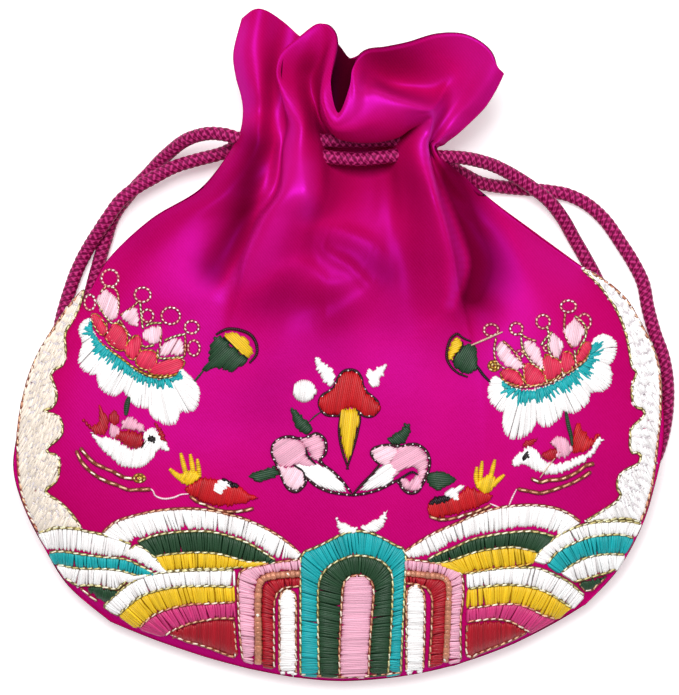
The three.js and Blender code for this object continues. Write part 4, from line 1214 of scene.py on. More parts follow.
hillsRight = {
    "upperTop": [
        (404, 552), (420, 541), (437, 531.5), (455, 524), (475, 514.7), (495, 508.5), (515, 505.6),
        (535.4, 505), (555.4, 508), (569, 513.6), (580, 521.6)],
    "upperGreen": [
        (410, 557), (425, 556), (440, 549), (455, 541), (466, 536.5), (482, 533), (502, 530), (522, 527),
        (535.4, 526.5), (549, 530.5), (560, 533)],
    "upperGreenTop": [
        (428, 559), (440, 553), (455, 547), (471, 539.5), (488.5, 535.5), (508.6, 532.5), (529, 531),
        (543, 533), (554, 536.5)],
    "upperYellow": [
        (434, 563), (445, 562), (455, 559), (468.4, 554), (482, 550.4), (502, 547.6), (515.3, 547),
        (536, 552)],
    "upperFoot": [(463, 573), (482, 570), (502, 567.4), (519.3, 566), (532, 563)],
    "lowerTop": [
        (468, 573.5), (482, 570.8), (502, 568), (522, 567.4), (538, 568), (555.4, 575), (569, 582),
        (583.6, 595)],
    "lowerYellow": [
        (469, 588.5), (482, 586.8), (502, 584.8), (519.3, 585.2), (535.4, 588), (551.4, 594.5),
        (571, 607.5)],
    "lowerRose": [
        (468, 608), (482, 606.5), (495, 604.6), (515.3, 604), (530, 608), (542, 614.6), (555, 622.5)],
    "lowerRed": [(467, 621.5), (479, 620), (495, 618.6), (511.2, 621.5), (522, 627.6), (530, 632)],
    "lowerWedge": [
        (467, 625.5), (479, 622.8), (495, 621), (511.2, 623.6), (520.6, 629), (526, 632.3),
        (511.2, 640.2), (495, 646.8), (477.8, 655), (467, 656.5)],
    "farTop": [
        (534, 559), (542, 548), (557, 536), (573, 528), (589, 523.2), (609, 521.2), (629, 521.2),
        (640, 524)],
    "farTeal": [
        (547.4, 563), (557, 552), (569, 545), (589, 537.2), (609, 534.6), (622.4, 534.6), (633, 539)],
    "farWhite": [
        (562, 571.6), (571.5, 564.8), (583.6, 558.4), (599.6, 554.4), (613, 553.8), (624, 554.4)],
    "farGreen": [(574, 581.2), (582, 579.6), (595.6, 575.6), (606.3, 573), (615, 571.4)],
    "farWedge": [
        (579.5, 583), (589, 580.6), (599.6, 578), (605, 577.2), (595.6, 586), (590.3, 591), (585, 591)],
}
sew("hills_left", hillsLeft, [
    ("band", "upperTop", "upperGreen", "white"), ("band", "upperGreenTop", "upperYellow", "green"),
    ("band", "upperYellow", "upperFoot", "yellow"), ("band", "farTop", "farTeal", "white"),
    ("fill", "farStub", 60, "white"), ("band", "farTealTop", "farWhite", "teal"),
    ("band", "farWhite", "farGreen", "white"), ("fill", "farWedge", 80, "green"),
    ("band", "lowerTop", "lowerYellow", "white"), ("band", "lowerYellow", "lowerRose", "yellow"),
    ("band", "lowerRose", "lowerRed", "rose"), ("fill", "lowerWedge", 88, "darkRed"),
    ("gold", "upperTop", "rose"), ("gold", "upperGreenTop", "pale"), ("gold", "upperYellow", "pale"),
    ("gold", "upperFoot", "pale"), ("gold", "farTop", "pale"), ("gold", "farTealTop", "pale"),
    ("gold", "farWhite", "pale"), ("gold", "farGreen", "pale"),
    ("gold", hillsLeft["farStub"][:5], "pale"), ("gold", "lowerTop", "pale"),
    ("gold", "lowerYellow", "pale"), ("gold", "lowerRose", "rose"), ("gold", "lowerRed", "rose"),
    ("gold", hillsLeft["lowerWedge"][4:] + hillsLeft["lowerWedge"][:1], "rose"),
    ("gold", [(81, 588), (89, 595), (97, 601)], "rose"),
    ("gold", [(104, 606), (112, 612), (119, 615)], "pale"),
])
sew("hills_right", hillsRight, [
    ("band", "upperTop", "upperGreen", "white"), ("band", "upperGreenTop", "upperYellow", "green"),
    ("band", "upperYellow", "upperFoot", "yellow"), ("band", "farTop", "farTeal", "white"),
    ("band", "farTeal", "farWhite", "teal"), ("band", "farWhite", "farGreen", "white"),
    ("fill", "farWedge", 100, "green"), ("band", "lowerTop", "lowerYellow", "white"),
    ("band", "lowerYellow", "lowerRose", "yellow"), ("band", "lowerRose", "lowerRed", "rose"),
    ("fill", "lowerWedge", 92, "darkRed"), ("gold", "upperTop", "rose"),
    ("gold", "upperGreenTop", "pale"), ("gold", "upperYellow", "pale"), ("gold", "upperFoot", "gold"),
    ("gold", "farTop", "pale"), ("gold", "farTeal", "pale"), ("gold", "farWhite", "pale"),
    ("gold", "farGreen", "pale"), ("gold", "lowerTop", "pale"), ("gold", "lowerYellow", "pale"),
    ("gold", "lowerRose", "rose"), ("gold", "lowerRed", "rose"),
    ("gold", hillsRight["lowerWedge"][5:] + hillsRight["lowerWedge"][:1], "rose"),
    ("gold", hillsRight["farWedge"][3:] + hillsRight["farWedge"][:1], "rose"),
])

# The rock in the middle: nested arches, with upright strips at both sides and wings over it.
rock = {
    "outer": [
        (300.5, 675), (300.5, 630), (300.5, 590), (301, 556), (311, 549.5), (322.6, 544), (345, 533),
        (360, 531), (374, 534), (388, 541), (398, 547), (405.5, 553), (404.5, 590), (402.5, 630),
        (400.5, 674)],
    "teal": [
        (319, 675), (318, 630), (318, 592), (319.5, 580), (325, 570), (335.6, 561.8), (351.8, 555.8),
        (366, 556), (380, 560), (388, 567), (392.3, 576), (392.5, 597.6), (390.5, 640), (388, 674)],
    "green": [
        (339.5, 675), (339.5, 646), (341, 613.8), (342.3, 593), (344, 582), (350, 576.5), (358, 574.8),
        (366, 576.5), (372, 582), (373.8, 592), (372.2, 613.8), (369.7, 646), (368.5, 675)],
    "core": [
        (340.5, 674), (340.5, 646), (342, 613.8), (343.3, 593), (345, 583), (350.5, 577.5), (358, 576),
        (365.5, 577.5), (371, 583), (372.8, 592), (371.2, 613.8), (369, 646), (367.5, 674), (354, 676)],
    "leftPinkOuter": [
        (243, 659), (240.4, 640), (238.5, 610), (238, 585), (240, 572), (249.4, 567.5), (262, 565),
        (274, 562.6), (298.5, 559.5)],
    "leftPinkInner": [
        (254.5, 662.6), (255, 640), (255, 610), (255.5, 590), (257, 580), (262, 574.5), (270, 572),
        (280, 570.8), (299.5, 570)],
    "leftRedOuter": [
        (262.4, 665), (262, 640), (261.6, 610), (262, 593), (264, 585), (268, 581), (275, 579),
        (285, 578), (300, 577)],
    "leftRedInner": [
        (274, 667.5), (274, 640), (274, 610), (275, 598), (278.7, 591), (283, 588), (288, 587),
        (293, 586.5), (299.8, 586)],
    "leftRope": [
        (258.5, 664), (258.5, 640), (258, 610), (258.5, 592), (260, 582), (265, 577.5), (273, 575.5),
        (283, 574.5), (300, 573.5)],
    "leftWhite": [
        (279.5, 671), (279.5, 630), (279.5, 600), (282, 592), (288, 589.5), (294, 592), (296, 600),
        (296, 630), (296, 673), (287, 674.5)],
    "rightPinkOuter": [
        (405.5, 559), (420, 560.5), (436.4, 563.4), (448, 566), (457.5, 569.5), (462.5, 577),
        (463, 597.6), (460.5, 620), (460.5, 659)],
    "rightPinkInner": [
        (405.5, 569.5), (418, 571), (428.3, 572.5), (438, 573.5), (445, 575.5), (450, 583), (449.8, 600),
        (449, 625), (447.5, 662)],
    "rightRedOuter": [
        (406, 576), (418, 577), (428.3, 578), (438, 578.8), (444, 580.5), (447.5, 588), (446.5, 610),
        (445.5, 635), (443, 663)],
    "rightRedInner": [
        (406, 583), (414, 583.6), (421, 585), (427, 588), (431, 593.5), (432.3, 602), (431.8, 620),
        (431, 640), (429, 667)],
    "rightRope": [
        (406, 573), (418, 574), (428.3, 575.3), (438, 576), (444.5, 578), (448.7, 585.5), (448.2, 605),
        (447.3, 630), (445.3, 662)],
    "rightWhite": [
        (406.5, 671), (406.5, 630), (406.5, 594), (410, 587), (416, 585.5), (422, 589), (424.5, 598),
        (424.5, 630), (423, 669), (414, 673)],
    "wingLeft": [
        (337, 517.5), (341, 523), (347, 523.5), (352, 526), (357, 527), (354, 532), (347, 534), (340, 532)],
    "wingRight": [
        (386.5, 511.5), (385, 521), (382, 527), (377, 531.5), (370, 532), (364, 529), (360, 527),
        (366, 524), (371, 521), (379, 518)],
}
sew("rock", rock, [
    ("band", "outer", "teal", "teal"), ("band", "teal", "green", "green"),
    ("fill", "core", 2, "pink", 0.5), ("band", "leftPinkOuter", "leftPinkInner", "pink"),
    ("band", "leftRedOuter", "leftRedInner", "darkRed"), ("fill", "leftWhite", 3, "white", 0.5),
    ("band", "rightPinkOuter", "rightPinkInner", "pink"),
    ("band", "rightRedOuter", "rightRedInner", "darkRed"), ("fill", "rightWhite", 177, "white", 0.5),
    ("fill", "wingLeft", 30, "white"), ("fill", "wingRight", 150, "white"), ("gold", "outer", "pale"),
    ("gold", "teal", "pale"), ("gold", "green", "rose"), ("gold", "leftPinkOuter", "rose"),
    ("gold", "leftRope", "rope", 0.8, 0.16, 1.25, False, 0.3, 0.22), ("gold", "leftRedInner", "rose"),
    ("gold", rock["leftWhite"][:9], "rose"), ("gold", "rightPinkOuter", "rose"),
    ("gold", "rightRope", "rope", 0.8, 0.16, 1.1, False, 0.3, 0.22), ("gold", "rightRedInner", "rose"),
    ("gold", rock["rightWhite"][:9], "rose"),
    ("gold", [(300, 676), (320, 677), (341, 677), (368, 677), (389, 675.5), (401, 675)], "rose"),
])

# Lotuses: white scallops, a frayed teal band, coral petals, pale petals, loops of gold and a bud.
lotusLeft = {
    "rim": [
        (92, 320), (88, 319), (80, 324.5), (78.7, 332.6), (82, 344.6), (78.7, 355.4), (78.7, 363.4),
        (84, 371.4), (92, 374.8), (96.4, 374.8), (97.5, 382), (101.5, 390), (109.6, 395.5), (117.6, 396),
        (122.3, 390), (125.6, 394), (131, 402), (137.7, 407.6), (147.8, 409.6), (153, 417.8),
        (162.8, 424), (173.8, 424.7), (179.3, 417.8), (182, 412.3), (191.6, 412.3), (198.5, 405.5),
        (200, 394), (198, 386), (194, 381), (185, 371), (181, 369)],
    "rays": [
        (90, 321), (84, 330), (87, 341), (92, 351), (100, 360), (113.6, 369), (125, 373), (135, 382),
        (147, 386), (160, 389), (172, 389), (181, 384), (183, 376), (181, 370)],
    "teal": [
        (90.5, 320.5), (93.5, 331.2), (98.8, 339.3), (110.9, 350), (124.3, 360.7), (135, 370),
        (147, 376.8), (160.4, 379.5), (173.8, 376.8), (180.5, 371.4)],
    "base": [
        (97.5, 339.3), (105.5, 347.3), (117.6, 355.4), (129.6, 364.7), (140.4, 371.4), (153.7, 377),
        (167, 376.5), (178, 373.5)],
    "coral": [
        [(92.1, 313.8), (98.8, 315.2), (105.5, 324.6), (107, 331.2), (102, 336), (96.2, 329),
         (92.1, 320.5)],
        [(113.6, 323.2), (120.3, 324.6), (127, 332.6), (127, 344.6), (122.9, 351), (113.6, 348),
         (106, 339), (110, 331.2)],
        [(135, 335.3), (140.4, 337.9), (140.4, 350), (135, 360), (127, 356), (125.6, 346)],
        [(143, 350), (155.1, 351.3), (157, 361), (151.1, 370), (140.4, 368), (135.5, 361)],
        [(161.8, 362), (180.5, 358), (185, 363.4), (178, 371), (164.5, 375), (151, 374), (148.4, 368.7)]],
    "pale": [
        [(106.9, 290.4), (113.6, 295), (118.9, 303), (117.6, 311.2), (113.6, 320.5), (106.9, 319.2),
         (100.2, 309.8), (97.5, 301.8), (101.5, 293.8)],
        [(135, 307), (139, 316.5), (137.7, 324.6), (133, 326.6), (127, 321.9), (121.6, 316.5)],
        [(153.7, 325.9), (159.8, 327.2), (159.8, 340.6), (153.7, 344), (145.7, 340.6), (143, 332.6)],
        [(179.2, 337.9), (183.9, 344.6), (180.5, 354), (171.2, 355.4), (161.8, 355.4), (160.4, 348.7),
         (167, 342)]],
    "lines": [
        [(100.8, 292.4), (106.2, 286.4), (110, 286), (117, 291), (118.9, 303), (117.6, 314)],
        [(97, 300), (104, 314), (113, 324), (120, 320)], [(138.3, 301.8), (130, 309), (120.3, 315.2)],
        [(140.4, 303), (141.7, 318), (143, 328.6)], [(120, 320), (126, 330), (131, 337)],
        [(161.8, 323.2), (153, 323), (145.7, 325.9)], [(160.4, 326), (161, 338), (159.8, 347)],
        [(185.9, 334), (174, 336.5), (164.5, 340.6)], [(185, 335), (185.5, 345), (184.5, 356)],
        [(141, 340), (143, 347), (154, 345)], [(107, 322), (108, 334), (116, 345)],
        [(158, 349), (159, 358), (170, 358), (184, 357)]],
    "rings": [
        ((110.2, 278.3), (8.7, 8.7)), ((90, 302.5), (5.5, 8)), ((142.8, 294.8), (8.3, 7.4)),
        ((147.7, 315.8), (6, 6.6)), ((170.9, 315.8), (9.5, 8.5)), ((191.9, 327.2), (7.3, 6.5)),
        ((193.9, 348), (6, 8))],
    "budBody": [
        (218, 336.6), (224.7, 338), (232.8, 346), (242.1, 354), (247.5, 358), (238.1, 367.4),
        (231.4, 372), (220.7, 368.7), (215.4, 367.4), (210, 370), (204, 372), (202, 370), (208.7, 362),
        (208.7, 355.4), (211.3, 344.6)],
    "budCap": [
        (226, 334), (234.1, 332.6), (243.5, 338), (250.2, 346), (252.9, 354), (247.5, 358), (239.5, 350),
        (230, 342), (224.7, 336.6)],
    "budRim": [
        (217, 334), (222, 331), (229, 328.8), (239.5, 330), (250.2, 334.5), (256.2, 343.3), (256.6, 354),
        (250.5, 362)],
}
lotusRight = {
    "rim": [
        (501, 381), (498, 379), (493, 376.5), (489, 384), (488, 395.4), (491.7, 405), (500, 411.5),
        (504, 412.3), (502.2, 423), (504.4, 432), (509, 438), (516.4, 439.5), (525.4, 436.5), (533, 429),
        (535.5, 422), (541, 426.3), (546.5, 427.7), (554.9, 423.5), (561.5, 416.5), (562.6, 411),
        (571.7, 414.4), (581.5, 409.4), (588.6, 402.4), (590.5, 392), (592.8, 392.6), (604, 391.2),
        (611, 384.2), (612.4, 374.4), (610, 365.5), (613.8, 360.3), (616.6, 350.5), (616, 342),
        (609.6, 335.8), (604, 333.7), (597, 336.5), (592, 342)],
    "rays": [
        (502, 382), (499, 392), (507, 400), (520, 404), (534, 404), (547, 403), (559, 395), (572, 388),
        (583, 385), (592, 374), (599, 364), (603, 354), (606, 344), (600, 339), (594, 343)],
    "teal": [
        (503, 382.5), (514.2, 388), (528.2, 390.5), (545, 386.6), (559, 381), (571.7, 372.6),
        (582.9, 364), (590, 354), (592.8, 345)],
    "base": [
        (500.2, 378.6), (508.6, 384.2), (521.2, 387), (539.4, 384.9), (553.5, 381.4), (564.7, 374.4),
        (575.9, 367.4), (586.5, 359.5)],
    "coral": [
        [(500.2, 372.6), (508.6, 368.4), (519.8, 373), (523, 384.8), (514.2, 384.8), (503, 379.6)],
        [(525.4, 364), (533.8, 364.5), (542.2, 371.6), (545.5, 381), (536.6, 385), (526.8, 385),
         (524, 375.4)],
        [(545, 354.3), (550.7, 355.7), (560.5, 362), (561, 373), (553.5, 379.4), (546.5, 380),
         (543.6, 368.4)],
        [(563.3, 352), (570.3, 352), (573.5, 360.3), (571, 369.5), (564.7, 374), (561.2, 364)],
        [(578.7, 349), (585.7, 341.5), (590.5, 346.3), (587.5, 356), (581.5, 362.5), (575.6, 362.5)]],
    "pale": [
        [(500.2, 342), (508.6, 346.3), (514.2, 356), (522.6, 363), (517, 370), (508.6, 367.4),
         (500.2, 360.3), (496, 352)],
        [(526.8, 340.7), (533.8, 342), (539.4, 349), (542.2, 360.3), (542.2, 368.8), (533.8, 363),
         (526.8, 354.7), (524, 346.3)],
        [(552, 333.7), (559, 337.9), (561.9, 346.3), (559, 357.5), (553.5, 356), (549.3, 346.3)],
        [(574.5, 319), (582.2, 325.3), (582.9, 333.7), (577.3, 344.9), (571.7, 347), (566, 339.3),
         (564.7, 329.5)]],
    "lines": [
        [(496, 338), (494, 350), (496, 361), (505, 369)],
        [(521, 337), (523, 350), (533, 364), (542, 370)], [(503, 341), (512, 349), (521, 361)],
        [(546.5, 326), (549, 336), (548, 348), (552, 358)], [(519, 333), (527, 338), (536, 341)],
        [(541, 345), (546, 338), (552, 332)], [(565, 313), (564, 328), (567, 340), (572, 348)],
        [(575, 316), (584, 324), (586, 335), (580, 346)], [(523, 364), (524, 376), (523, 386)],
        [(543.5, 368), (546, 376), (547, 384)], [(561, 360), (562, 370), (563, 376)],
        [(574.5, 350), (575.5, 360), (576, 367)]],
    "rings": [
        ((491, 330), (7.5, 6)), ((516.3, 328.8), (6.5, 6)), ((543, 321.7), (7, 7)),
        ((568.2, 306.3), (8, 6)), ((584.3, 321.7), (6.5, 8)), ((519.8, 354), (4, 4)),
        ((546.5, 348), (3.5, 3.5))],
    "budBody": [
        (463.7, 346.3), (472, 343.5), (476.3, 349), (476.8, 360.3), (475.5, 368.8), (466.5, 374.4),
        (458, 370), (452.5, 361.7), (458, 353.3)],
    "budCap": [
        (455.3, 337.9), (461.6, 340.7), (460.9, 347.7), (455.3, 353.3), (451, 360.3), (447.5, 356),
        (449.6, 347.7)],
    "budRim": [
        (470, 341), (463, 338), (456.7, 334), (449.6, 340.7), (446.5, 356), (450.5, 366), (458, 373),
        (466.5, 376.5)],
}


def lotusShapes(lotus, leans, baseTone):
    shapes = [("band", "rim", "teal", "white", 0.3), ("band", "teal", "rays", "teal", 0.5, 0.45, 1.35)]
    for colour in ("coral", "pale"):
        shapes += [("fill", petal, lean, colour) for petal, lean in zip(lotus[colour], leans)]
    shapes += [("gold", "base", baseTone, 0.8, 0.2)]
    for k, line in enumerate(lotus["lines"]):
        shapes += [("gold", line, ("rose", "pale")[k % 2], 0.62, 0.2, 0.36)]
    shapes += [("gold", petal + petal[:1], "gold", 0.7, 0.3, 0.26) for petal in lotus["coral"]]
    return shapes + [("ring", middle, reach, "ring") for middle, reach in lotus["rings"]]


sew("lotus_left", lotusLeft, lotusShapes(lotusLeft, (70, 55, 95, 60, 20), "gold") + [
    ("strip", [(129, 398), (127, 405), (126, 414)], 6, "green"), ("fill", "budBody", 45, "green"),
    ("fill", "budCap", 135, "yellow"), ("strip", "budRim", 3.6, "outline", 0.2),
    ("strip", [(224.5, 338), (235, 346.5), (247, 358)], 2.6, "black", 0.4),
    ("strip", [(203, 371), (199, 376), (194, 382)], 2.2, "green", 0.1),
])
sew("lotus_right", lotusRight, lotusShapes(lotusRight, (55, 60, 100, 80, 130), "rose") + [
    ("ring", (493.8, 366), (5.4, 5), "gold"), ("ring", (493.8, 366), (3, 2.8), "gold"),
    ("strip", [(566, 413), (568, 424), (571, 436), (572, 444)], 4.5, "green"),
    ("fill", "budBody", 60, "green"), ("fill", "budCap", 25, "yellow"),
    ("strip", "budRim", 3.0, "outline", 0.2),
    ("strip", [(462.5, 343), (461.5, 349), (453, 361)], 2.6, "black", 0.4),
    ("strip", [(476.3, 365), (483.3, 375), (490.3, 382)], 3.2, "black", 0.15),
    ("strip", [(472, 345), (486, 339), (501.6, 332.3)], 2.2, "beige", 0.2),
])

# Mandarin ducks on their gold water lines.
ducksLeft = {
    "white": [
        (90.9, 432.2), (98.4, 436.3), (106.6, 437), (117.6, 441), (128.6, 448), (138.2, 448.7),
        (143.6, 443.9), (144.5, 434.3), (149.1, 428), (156, 428.8), (161.5, 438.4), (166.3, 442.5),
        (168, 450.7), (160, 449.4), (154.6, 454.8), (150.5, 461.7), (142.3, 467.2), (134, 468.6),
        (121.7, 465.8), (112, 459), (103.9, 450.7), (97, 442.5)],
    "wing": [
        (116.2, 438), (120.3, 431.5), (131.3, 430.2), (142.3, 434.3), (142.3, 442.5), (136.8, 448.7),
        (125.8, 445.2)],
    "pink": [(110.7, 426), (119, 426), (119, 437), (110.7, 435.7)],
    "pinkTop": [
        (124.4, 420.6), (129.9, 416.5), (136.8, 420.6), (143.6, 426), (143.6, 431.5), (134, 430.2),
        (121.7, 428.8)],
    "crest": [(154.6, 423.3), (162.8, 430.2), (166, 441), (161.5, 439), (157.4, 430)],
    "tail": [
        (82, 418), (88, 426), (95, 433), (103, 435), (108, 428), (106, 417), (99, 405), (100, 416),
        (97, 424), (91, 425)],
    "plume": [(112, 411), (117, 413), (118, 423), (112, 425), (110, 418)],
    "eye": [(144, 441), (150.5, 435.7), (157.4, 438.4), (154.6, 442.5), (149.1, 441)],
    "redBody": [
        (186.1, 490.5), (191.6, 483.6), (201.2, 478.2), (210.8, 478.2), (224.5, 480.9), (238.3, 485),
        (249.2, 493.2), (257, 497.8), (243.7, 503.5), (231.4, 505.4), (217.7, 505.6), (204, 502.8),
        (191.6, 496)],
    "redWhite": [(212.2, 487.8), (220.4, 479.5), (232, 485), (230, 487.8), (221.8, 494.6)],
    "redBlack": [(223, 479.5), (234, 482.3), (237.4, 486.8), (231.4, 487.8)],
    "redTail": [(173, 471), (181, 474), (190, 470), (199, 473), (196, 480), (186, 485), (179, 480)],
    "waterUpper": [
        (80.6, 448), (86, 454.8), (94.3, 463), (102.5, 467.2), (108, 468.6), (117.6, 474), (125.8, 478.2),
        (133, 478.8)],
    "waterLower": [
        (76.5, 450.7), (80.6, 460.3), (87.4, 468.6), (95.7, 475.4), (105.3, 480.9), (114.8, 483.6),
        (125.8, 489.1), (132.7, 490.5), (142.3, 489.1), (150.5, 489.1)],
    "waterThread": [
        (151, 489), (153.2, 491), (156, 496), (164.2, 498.7), (173.8, 497.4), (180.7, 494.6),
        (187.5, 493.9)],
    "waterRed": [
        (190.3, 496), (197, 501.5), (204, 504.2), (210.8, 507), (217.7, 510), (227.3, 511.5),
        (238.3, 511.5), (246.5, 510), (253.3, 508.3)],
}
ducksRight = {
    "white": [
        (512.7, 465), (514.9, 457.5), (520.9, 451.5), (528.4, 446.2), (535.9, 450), (543.4, 460.5),
        (553.9, 463.5), (564.4, 462), (574.9, 457.5), (583.9, 454.5), (591.4, 448.5), (597.4, 438),
        (601.9, 439.5), (595.9, 450), (586.9, 459), (574.9, 466.5), (559.9, 472.5), (546.4, 474.7),
        (535.9, 471), (523.9, 465)],
    "eye": [(520.5, 458), (528.4, 451), (529.5, 456), (522.4, 461.5)],
    "crest": [(522, 445.5), (526, 441.5), (536.5, 438.5), (534.4, 444), (529, 446)],
    "wing": [(541.9, 456), (543.4, 453), (553.9, 448), (559.9, 453), (555.4, 459), (547.9, 460.5)],
    "pink": [
        (550.9, 442.5), (556.9, 437.2), (565.9, 438), (571.1, 450), (568.9, 455), (559.9, 458),
        (556, 455), (556.9, 449)],
    "tail": [
        (576.4, 422), (583.9, 431), (589.9, 438.5), (599, 434), (592, 445), (583, 452.5), (573.4, 452),
        (573.4, 438)],
    "red": [
        (428, 504), (434, 498), (447.5, 498), (459.5, 492), (468.5, 486.7), (479, 490.4), (489.4, 493.4),
        (490.9, 498), (485, 504), (470, 510), (455, 514.4), (440, 517.4), (429.5, 515)],
    "black": [(429.5, 503.5), (434, 497.5), (446, 496), (449, 501), (440, 505.5)],
    "patch": [
        (445.2, 495), (450.5, 489.7), (461.7, 485.5), (462.5, 488.2), (458.7, 492), (459.5, 498),
        (453.5, 500)],
    "tailBase": [
        (476, 484.4), (481, 478.5), (491, 474), (495.4, 480), (492.4, 489), (485, 494.2), (479, 490.4)],
    "waterUpper": [
        (531.4, 478.5), (537.4, 483), (544.9, 480), (556.9, 480), (567.4, 477), (576.4, 472.5),
        (582.4, 468), (589.9, 462), (593.6, 463.5)],
    "waterLower": [
        (517.9, 489), (526.9, 490.4), (535.9, 493.4), (546.4, 492), (559.9, 487.4), (568.9, 484.4),
        (577.9, 480), (585.4, 475.5), (590.6, 471.7)],
    "waterThread": [(516, 490), (512, 498), (508.9, 505.4)],
    "waterRed": [
        (429.5, 516), (434, 519), (444.5, 519.5), (455, 518), (464, 515), (474.5, 512), (482, 509),
        (491, 505)],
    "waterRedThread": [(491, 504), (497, 506.5), (504.4, 510)],
}
sew("ducks_left", ducksLeft, [
    ("fill", "tail", 110, "darkRed", 0.2), ("fill", "plume", 90, "darkRed", 0.2),
    ("fill", "white", 78, "white"), ("fill", "pink", 80, "pink"), ("fill", "pinkTop", 60, "pink", 0.5),
    ("fill", "wing", 70, "darkRed", 0.5), ("fill", "crest", 40, "darkRed"),
    ("fill", "eye", 20, "black", 0.7), ("strip", [(149, 443), (145, 449)], 1.4, "grey", 0.62),
    ("strip", [(146, 441), (142, 447)], 1.4, "outline", 0.62), ("fill", "redTail", 60, "yellow"),
    ("strip", [(184, 482), (170.4, 469.5)], 5.5, "yellow"),
    ("strip", [(187.5, 480), (181, 454)], 5.2, "yellow"),
    ("strip", [(194.4, 478), (190.5, 455)], 5.2, "yellow"),
    ("strip", [(199.9, 476), (197.5, 460)], 4.8, "yellow"), ("fill", "redBody", 75, "red"),
    ("fill", "redBlack", 60, "black", 0.6), ("fill", "redWhite", 150, "white", 0.65),
    ("strip", "waterThread", 2.0, "thread", 0.15), ("gold", "waterUpper", "rose", 1.7, 0.3, 0.62),
    ("gold", "waterLower", "rose", 1.7, 0.3, 0.62), ("gold", "waterRed", "rose", 1.5, 0.3, 0.56),
    ("ring", (139.5, 478.2), (6, 3.8), "gold"), ("ring", (139.5, 478.2), (3.2, 1.8), "gold"),
])
sew("ducks_right", ducksRight, [
    ("fill", "tail", 70, "red", 0.3), ("fill", "crest", 150, "darkRed", 0.15),
    ("fill", "white", 100, "white"), ("fill", "pink", 100, "pink", 0.5),
    ("fill", "wing", 110, "darkRed", 0.45), ("fill", "eye", 50, "black", 0.65),
    ("strip", [(554, 459), (547, 468), (540.4, 477)], 1.6, "beige", 0.6),
    ("fill", "tailBase", 75, "yellow"), ("strip", [(478.2, 487), (476, 478), (476.7, 468)], 5, "yellow"),
    ("strip", [(480, 481), (482, 462)], 4.6, "yellow"),
    ("strip", [(488, 486), (491, 475), (494.7, 460.5)], 5, "yellow"),
    ("strip", [(491, 487), (497, 481), (503.5, 475.5)], 5, "yellow"), ("fill", "red", 105, "red"),
    ("fill", "black", 120, "black", 0.6), ("fill", "patch", 35, "white", 0.65),
    ("strip", "waterThread", 1.8, "thread", 0.15), ("strip", "waterRedThread", 1.8, "thread", 0.15),
    ("gold", "waterUpper", "rose", 1.7, 0.3, 0.62), ("gold", "waterLower", "rose", 1.7, 0.3, 0.62),
    ("gold", "waterRed", "rose", 1.5, 0.3, 0.56),
])

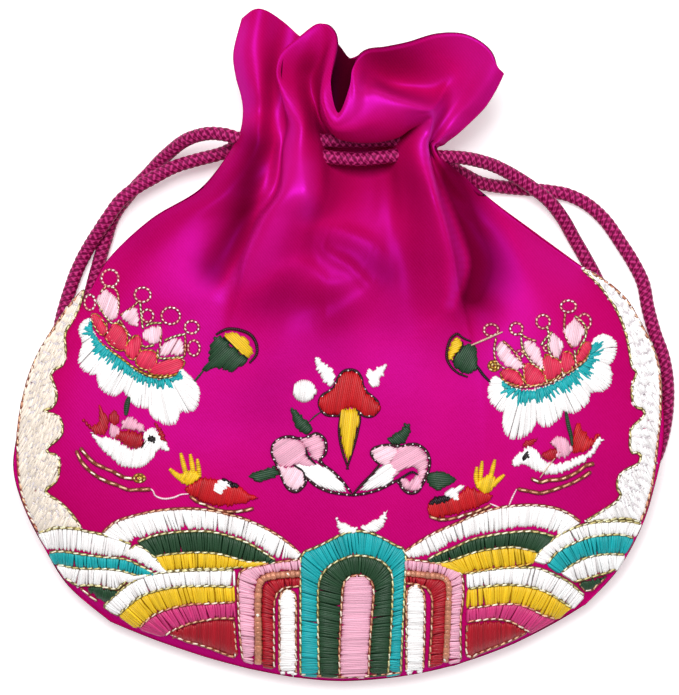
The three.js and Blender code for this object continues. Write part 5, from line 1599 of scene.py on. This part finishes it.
# The spray in the middle: a red trefoil with a yellow stamen, two pink flowers and leaves, edged in
# dark thread.
spray = {
    "trefoil": [
        (350, 369.5), (357, 371.5), (361.5, 378), (363, 386), (366.5, 392), (372, 396), (378, 402),
        (378.5, 410), (374, 415.5), (368, 417), (362, 415), (357, 410), (351, 408), (345, 410),
        (340, 415), (333, 416), (325, 414.5), (320, 408.5), (319, 401), (323, 394.5), (330, 391),
        (335, 386), (338, 378), (343, 371.5)],
    "stamen": [
        (343, 407), (350, 409), (356.5, 409), (358.2, 418.6), (356.5, 429.8), (352, 446.6), (348.7, 462),
        (343.8, 449.4), (340.3, 431), (340.3, 419)],
    "whiteLeft": [
        (316.5, 356), (324, 362.5), (332.6, 369.5), (335.4, 376.5), (329.8, 385.5), (324, 382),
        (318.6, 372), (315.4, 364)],
    "whiteRight": [
        (384.3, 364.8), (385.5, 368.5), (380.3, 379.3), (379, 385), (374.7, 388), (369, 382),
        (366.3, 373.7), (367.5, 369.5), (373.3, 369.5), (379, 366.5)],
    "leafTopLeft": [
        (292, 408.8), (300.3, 414.4), (308.8, 422.8), (311.6, 428.4), (303, 434), (297.5, 428.4),
        (292.6, 420)],
    "leafLeft": [(248.4, 476), (261, 470.5), (273.7, 467.2), (278.6, 472.5), (273.7, 478), (261, 480.6)],
    "leafTopRight": [
        (388.7, 438.2), (397, 432.6), (405.6, 424), (409.8, 427), (408.4, 436.8), (401.4, 444.5),
        (393, 443.8)],
    "leafRight": [(425.2, 479.5), (430.8, 473.3), (443.5, 472.6), (456, 479), (446.3, 486), (435, 488.7)],
    "pinkLeft": [
        (272, 455), (273, 445), (281, 439), (291, 438), (301, 441), (307, 449), (306, 455), (311, 461),
        (315, 464), (305, 466.5), (296, 464), (285, 467), (277, 464)],
    "curlLeft": [
        (301, 441), (309, 438), (317, 435), (324, 441), (324, 452), (318, 460), (312, 458), (308, 450)],
    "lobeLeft": [
        (277, 463.5), (285, 467), (296, 466), (303, 472), (304, 481), (297, 490), (289, 488), (283, 481),
        (280, 471)],
    "innerLeft": [
        (296, 464), (306, 463), (315, 463), (325, 468), (336, 477), (346, 488), (343, 492), (335, 491),
        (322, 487), (309, 478), (301, 470)],
    "edgeLeft": [
        (279, 470), (275, 461), (271.5, 453), (273, 444), (281, 437.8), (291, 436.3), (301, 439),
        (309, 436.3), (317, 433.2), (325.5, 440), (325.8, 453), (319, 461), (328, 467.5), (340, 478),
        (351, 492)],
    "underLeft": [
        (277, 464), (280, 473), (284, 482.5), (289, 489.5), (297, 491.5), (305, 484), (306, 477),
        (315, 485), (330, 492), (351, 495)],
    "creaseLeft": [(306, 449), (308, 456), (315, 463.5)],
    "foldLeft": [(295, 466), (303, 471), (305, 479)],
    "pinkTopRight": [
        (372, 450), (380, 447), (390, 446), (398, 449), (396, 456), (389, 462), (381, 465), (374, 460),
        (371, 454)],
    "pinkRight": [
        (398, 449), (408, 446), (417, 446), (425, 452), (428, 462), (425, 474), (420, 481), (416, 470),
        (409, 467), (400, 471), (392, 477), (386, 470), (390, 462)],
    "curlRight": [
        (418, 472), (421, 482), (417, 490), (408, 491), (402, 485), (400, 480), (405, 478), (410, 482),
        (414, 478)],
    "innerRight": [
        (392, 462), (399, 464), (399, 472), (390, 481), (378, 488), (366, 490), (360, 490), (366, 482),
        (375, 473), (384, 466)],
    "edgeRight": [
        (378, 463), (371, 455), (373, 448.5), (381, 445.6), (390, 444.6), (400, 446.5), (410, 444),
        (418, 444.6), (426.5, 451), (430, 462), (427, 475), (422, 485), (417, 492), (408, 493),
        (401, 487), (399, 480), (390, 484), (378, 490), (365, 493.5), (352, 495)],
    "creaseRight": [(379, 465), (371, 475), (362, 484), (354, 493)],
    "foldRight": [(399, 479), (405, 475.5), (412, 472), (417, 474)],
    "whiteDot": [
        (303, 379.5), (310, 381), (314.6, 386), (315, 393), (311, 400), (304, 402.5), (297, 400),
        (293.4, 394), (293.6, 387), (297, 382)],
}
sew("spray", spray, [
    ("fill", "whiteDot", 82, "white", 0.9, None, 0.0, 0.0, True, 0.15),
    ("fill", "trefoil", 80, "red", 0.6), ("fill", "stamen", 84, "yellow", 0.62),
    ("fill", "whiteLeft", 52, "white"), ("fill", "whiteRight", 128, "white"),
    ("fill", "leafTopLeft", 40, "green"), ("fill", "leafLeft", 170, "green"),
    ("fill", "leafTopRight", 135, "green"), ("fill", "leafRight", 5, "green"),
    ("fill", "pinkLeft", 35, "pink"), ("fill", "curlLeft", 20, "pink", 0.5),
    ("fill", "lobeLeft", 60, "pale", 0.5), ("fill", "innerLeft", 142, "white", 0.5),
    ("fill", "pinkTopRight", 25, "pale", 0.5), ("fill", "pinkRight", 30, "pink"),
    ("fill", "curlRight", 60, "pink", 0.5), ("fill", "innerRight", 35, "white", 0.5),
    ("strip", spray["trefoil"][13:] + spray["trefoil"][:12], 2.8, "outline", 0.2),
    ("strip", [(341, 411), (339, 431), (342, 450), (348, 468)], 2.8, "outline", 0.2),
    ("strip", [(358.5, 411), (360, 419), (357.5, 432), (353, 449), (347, 468)], 3.0, "outline", 0.2),
    ("strip", "edgeLeft", 2.6, "outline", 0.25), ("strip", "underLeft", 3.2, "outline", 0.25),
    ("strip", "creaseLeft", 2.6, "black", 0.6), ("strip", "foldLeft", 2.6, "black", 0.6),
    ("strip", "edgeRight", 2.8, "outline", 0.25), ("strip", "creaseRight", 3.0, "outline", 0.3),
    ("strip", "foldRight", 2.6, "black", 0.6),
    ("strip", [(309, 422), (315, 416), (321, 412)], 1.4, "green", 0.1),
    ("gold", "edgeLeft", "dot", 0.3, 1.2, 0.4), ("gold", "edgeRight", "dot", 0.3, 1.2, 0.4),
    ("gold", "underLeft", "dot", 0.3, 1.3, 0.4),
    ("gold", spray["trefoil"][13:] + spray["trefoil"][:12], "dot", 0.3, 1.6, 0.36),
])
print("embroidery ready")
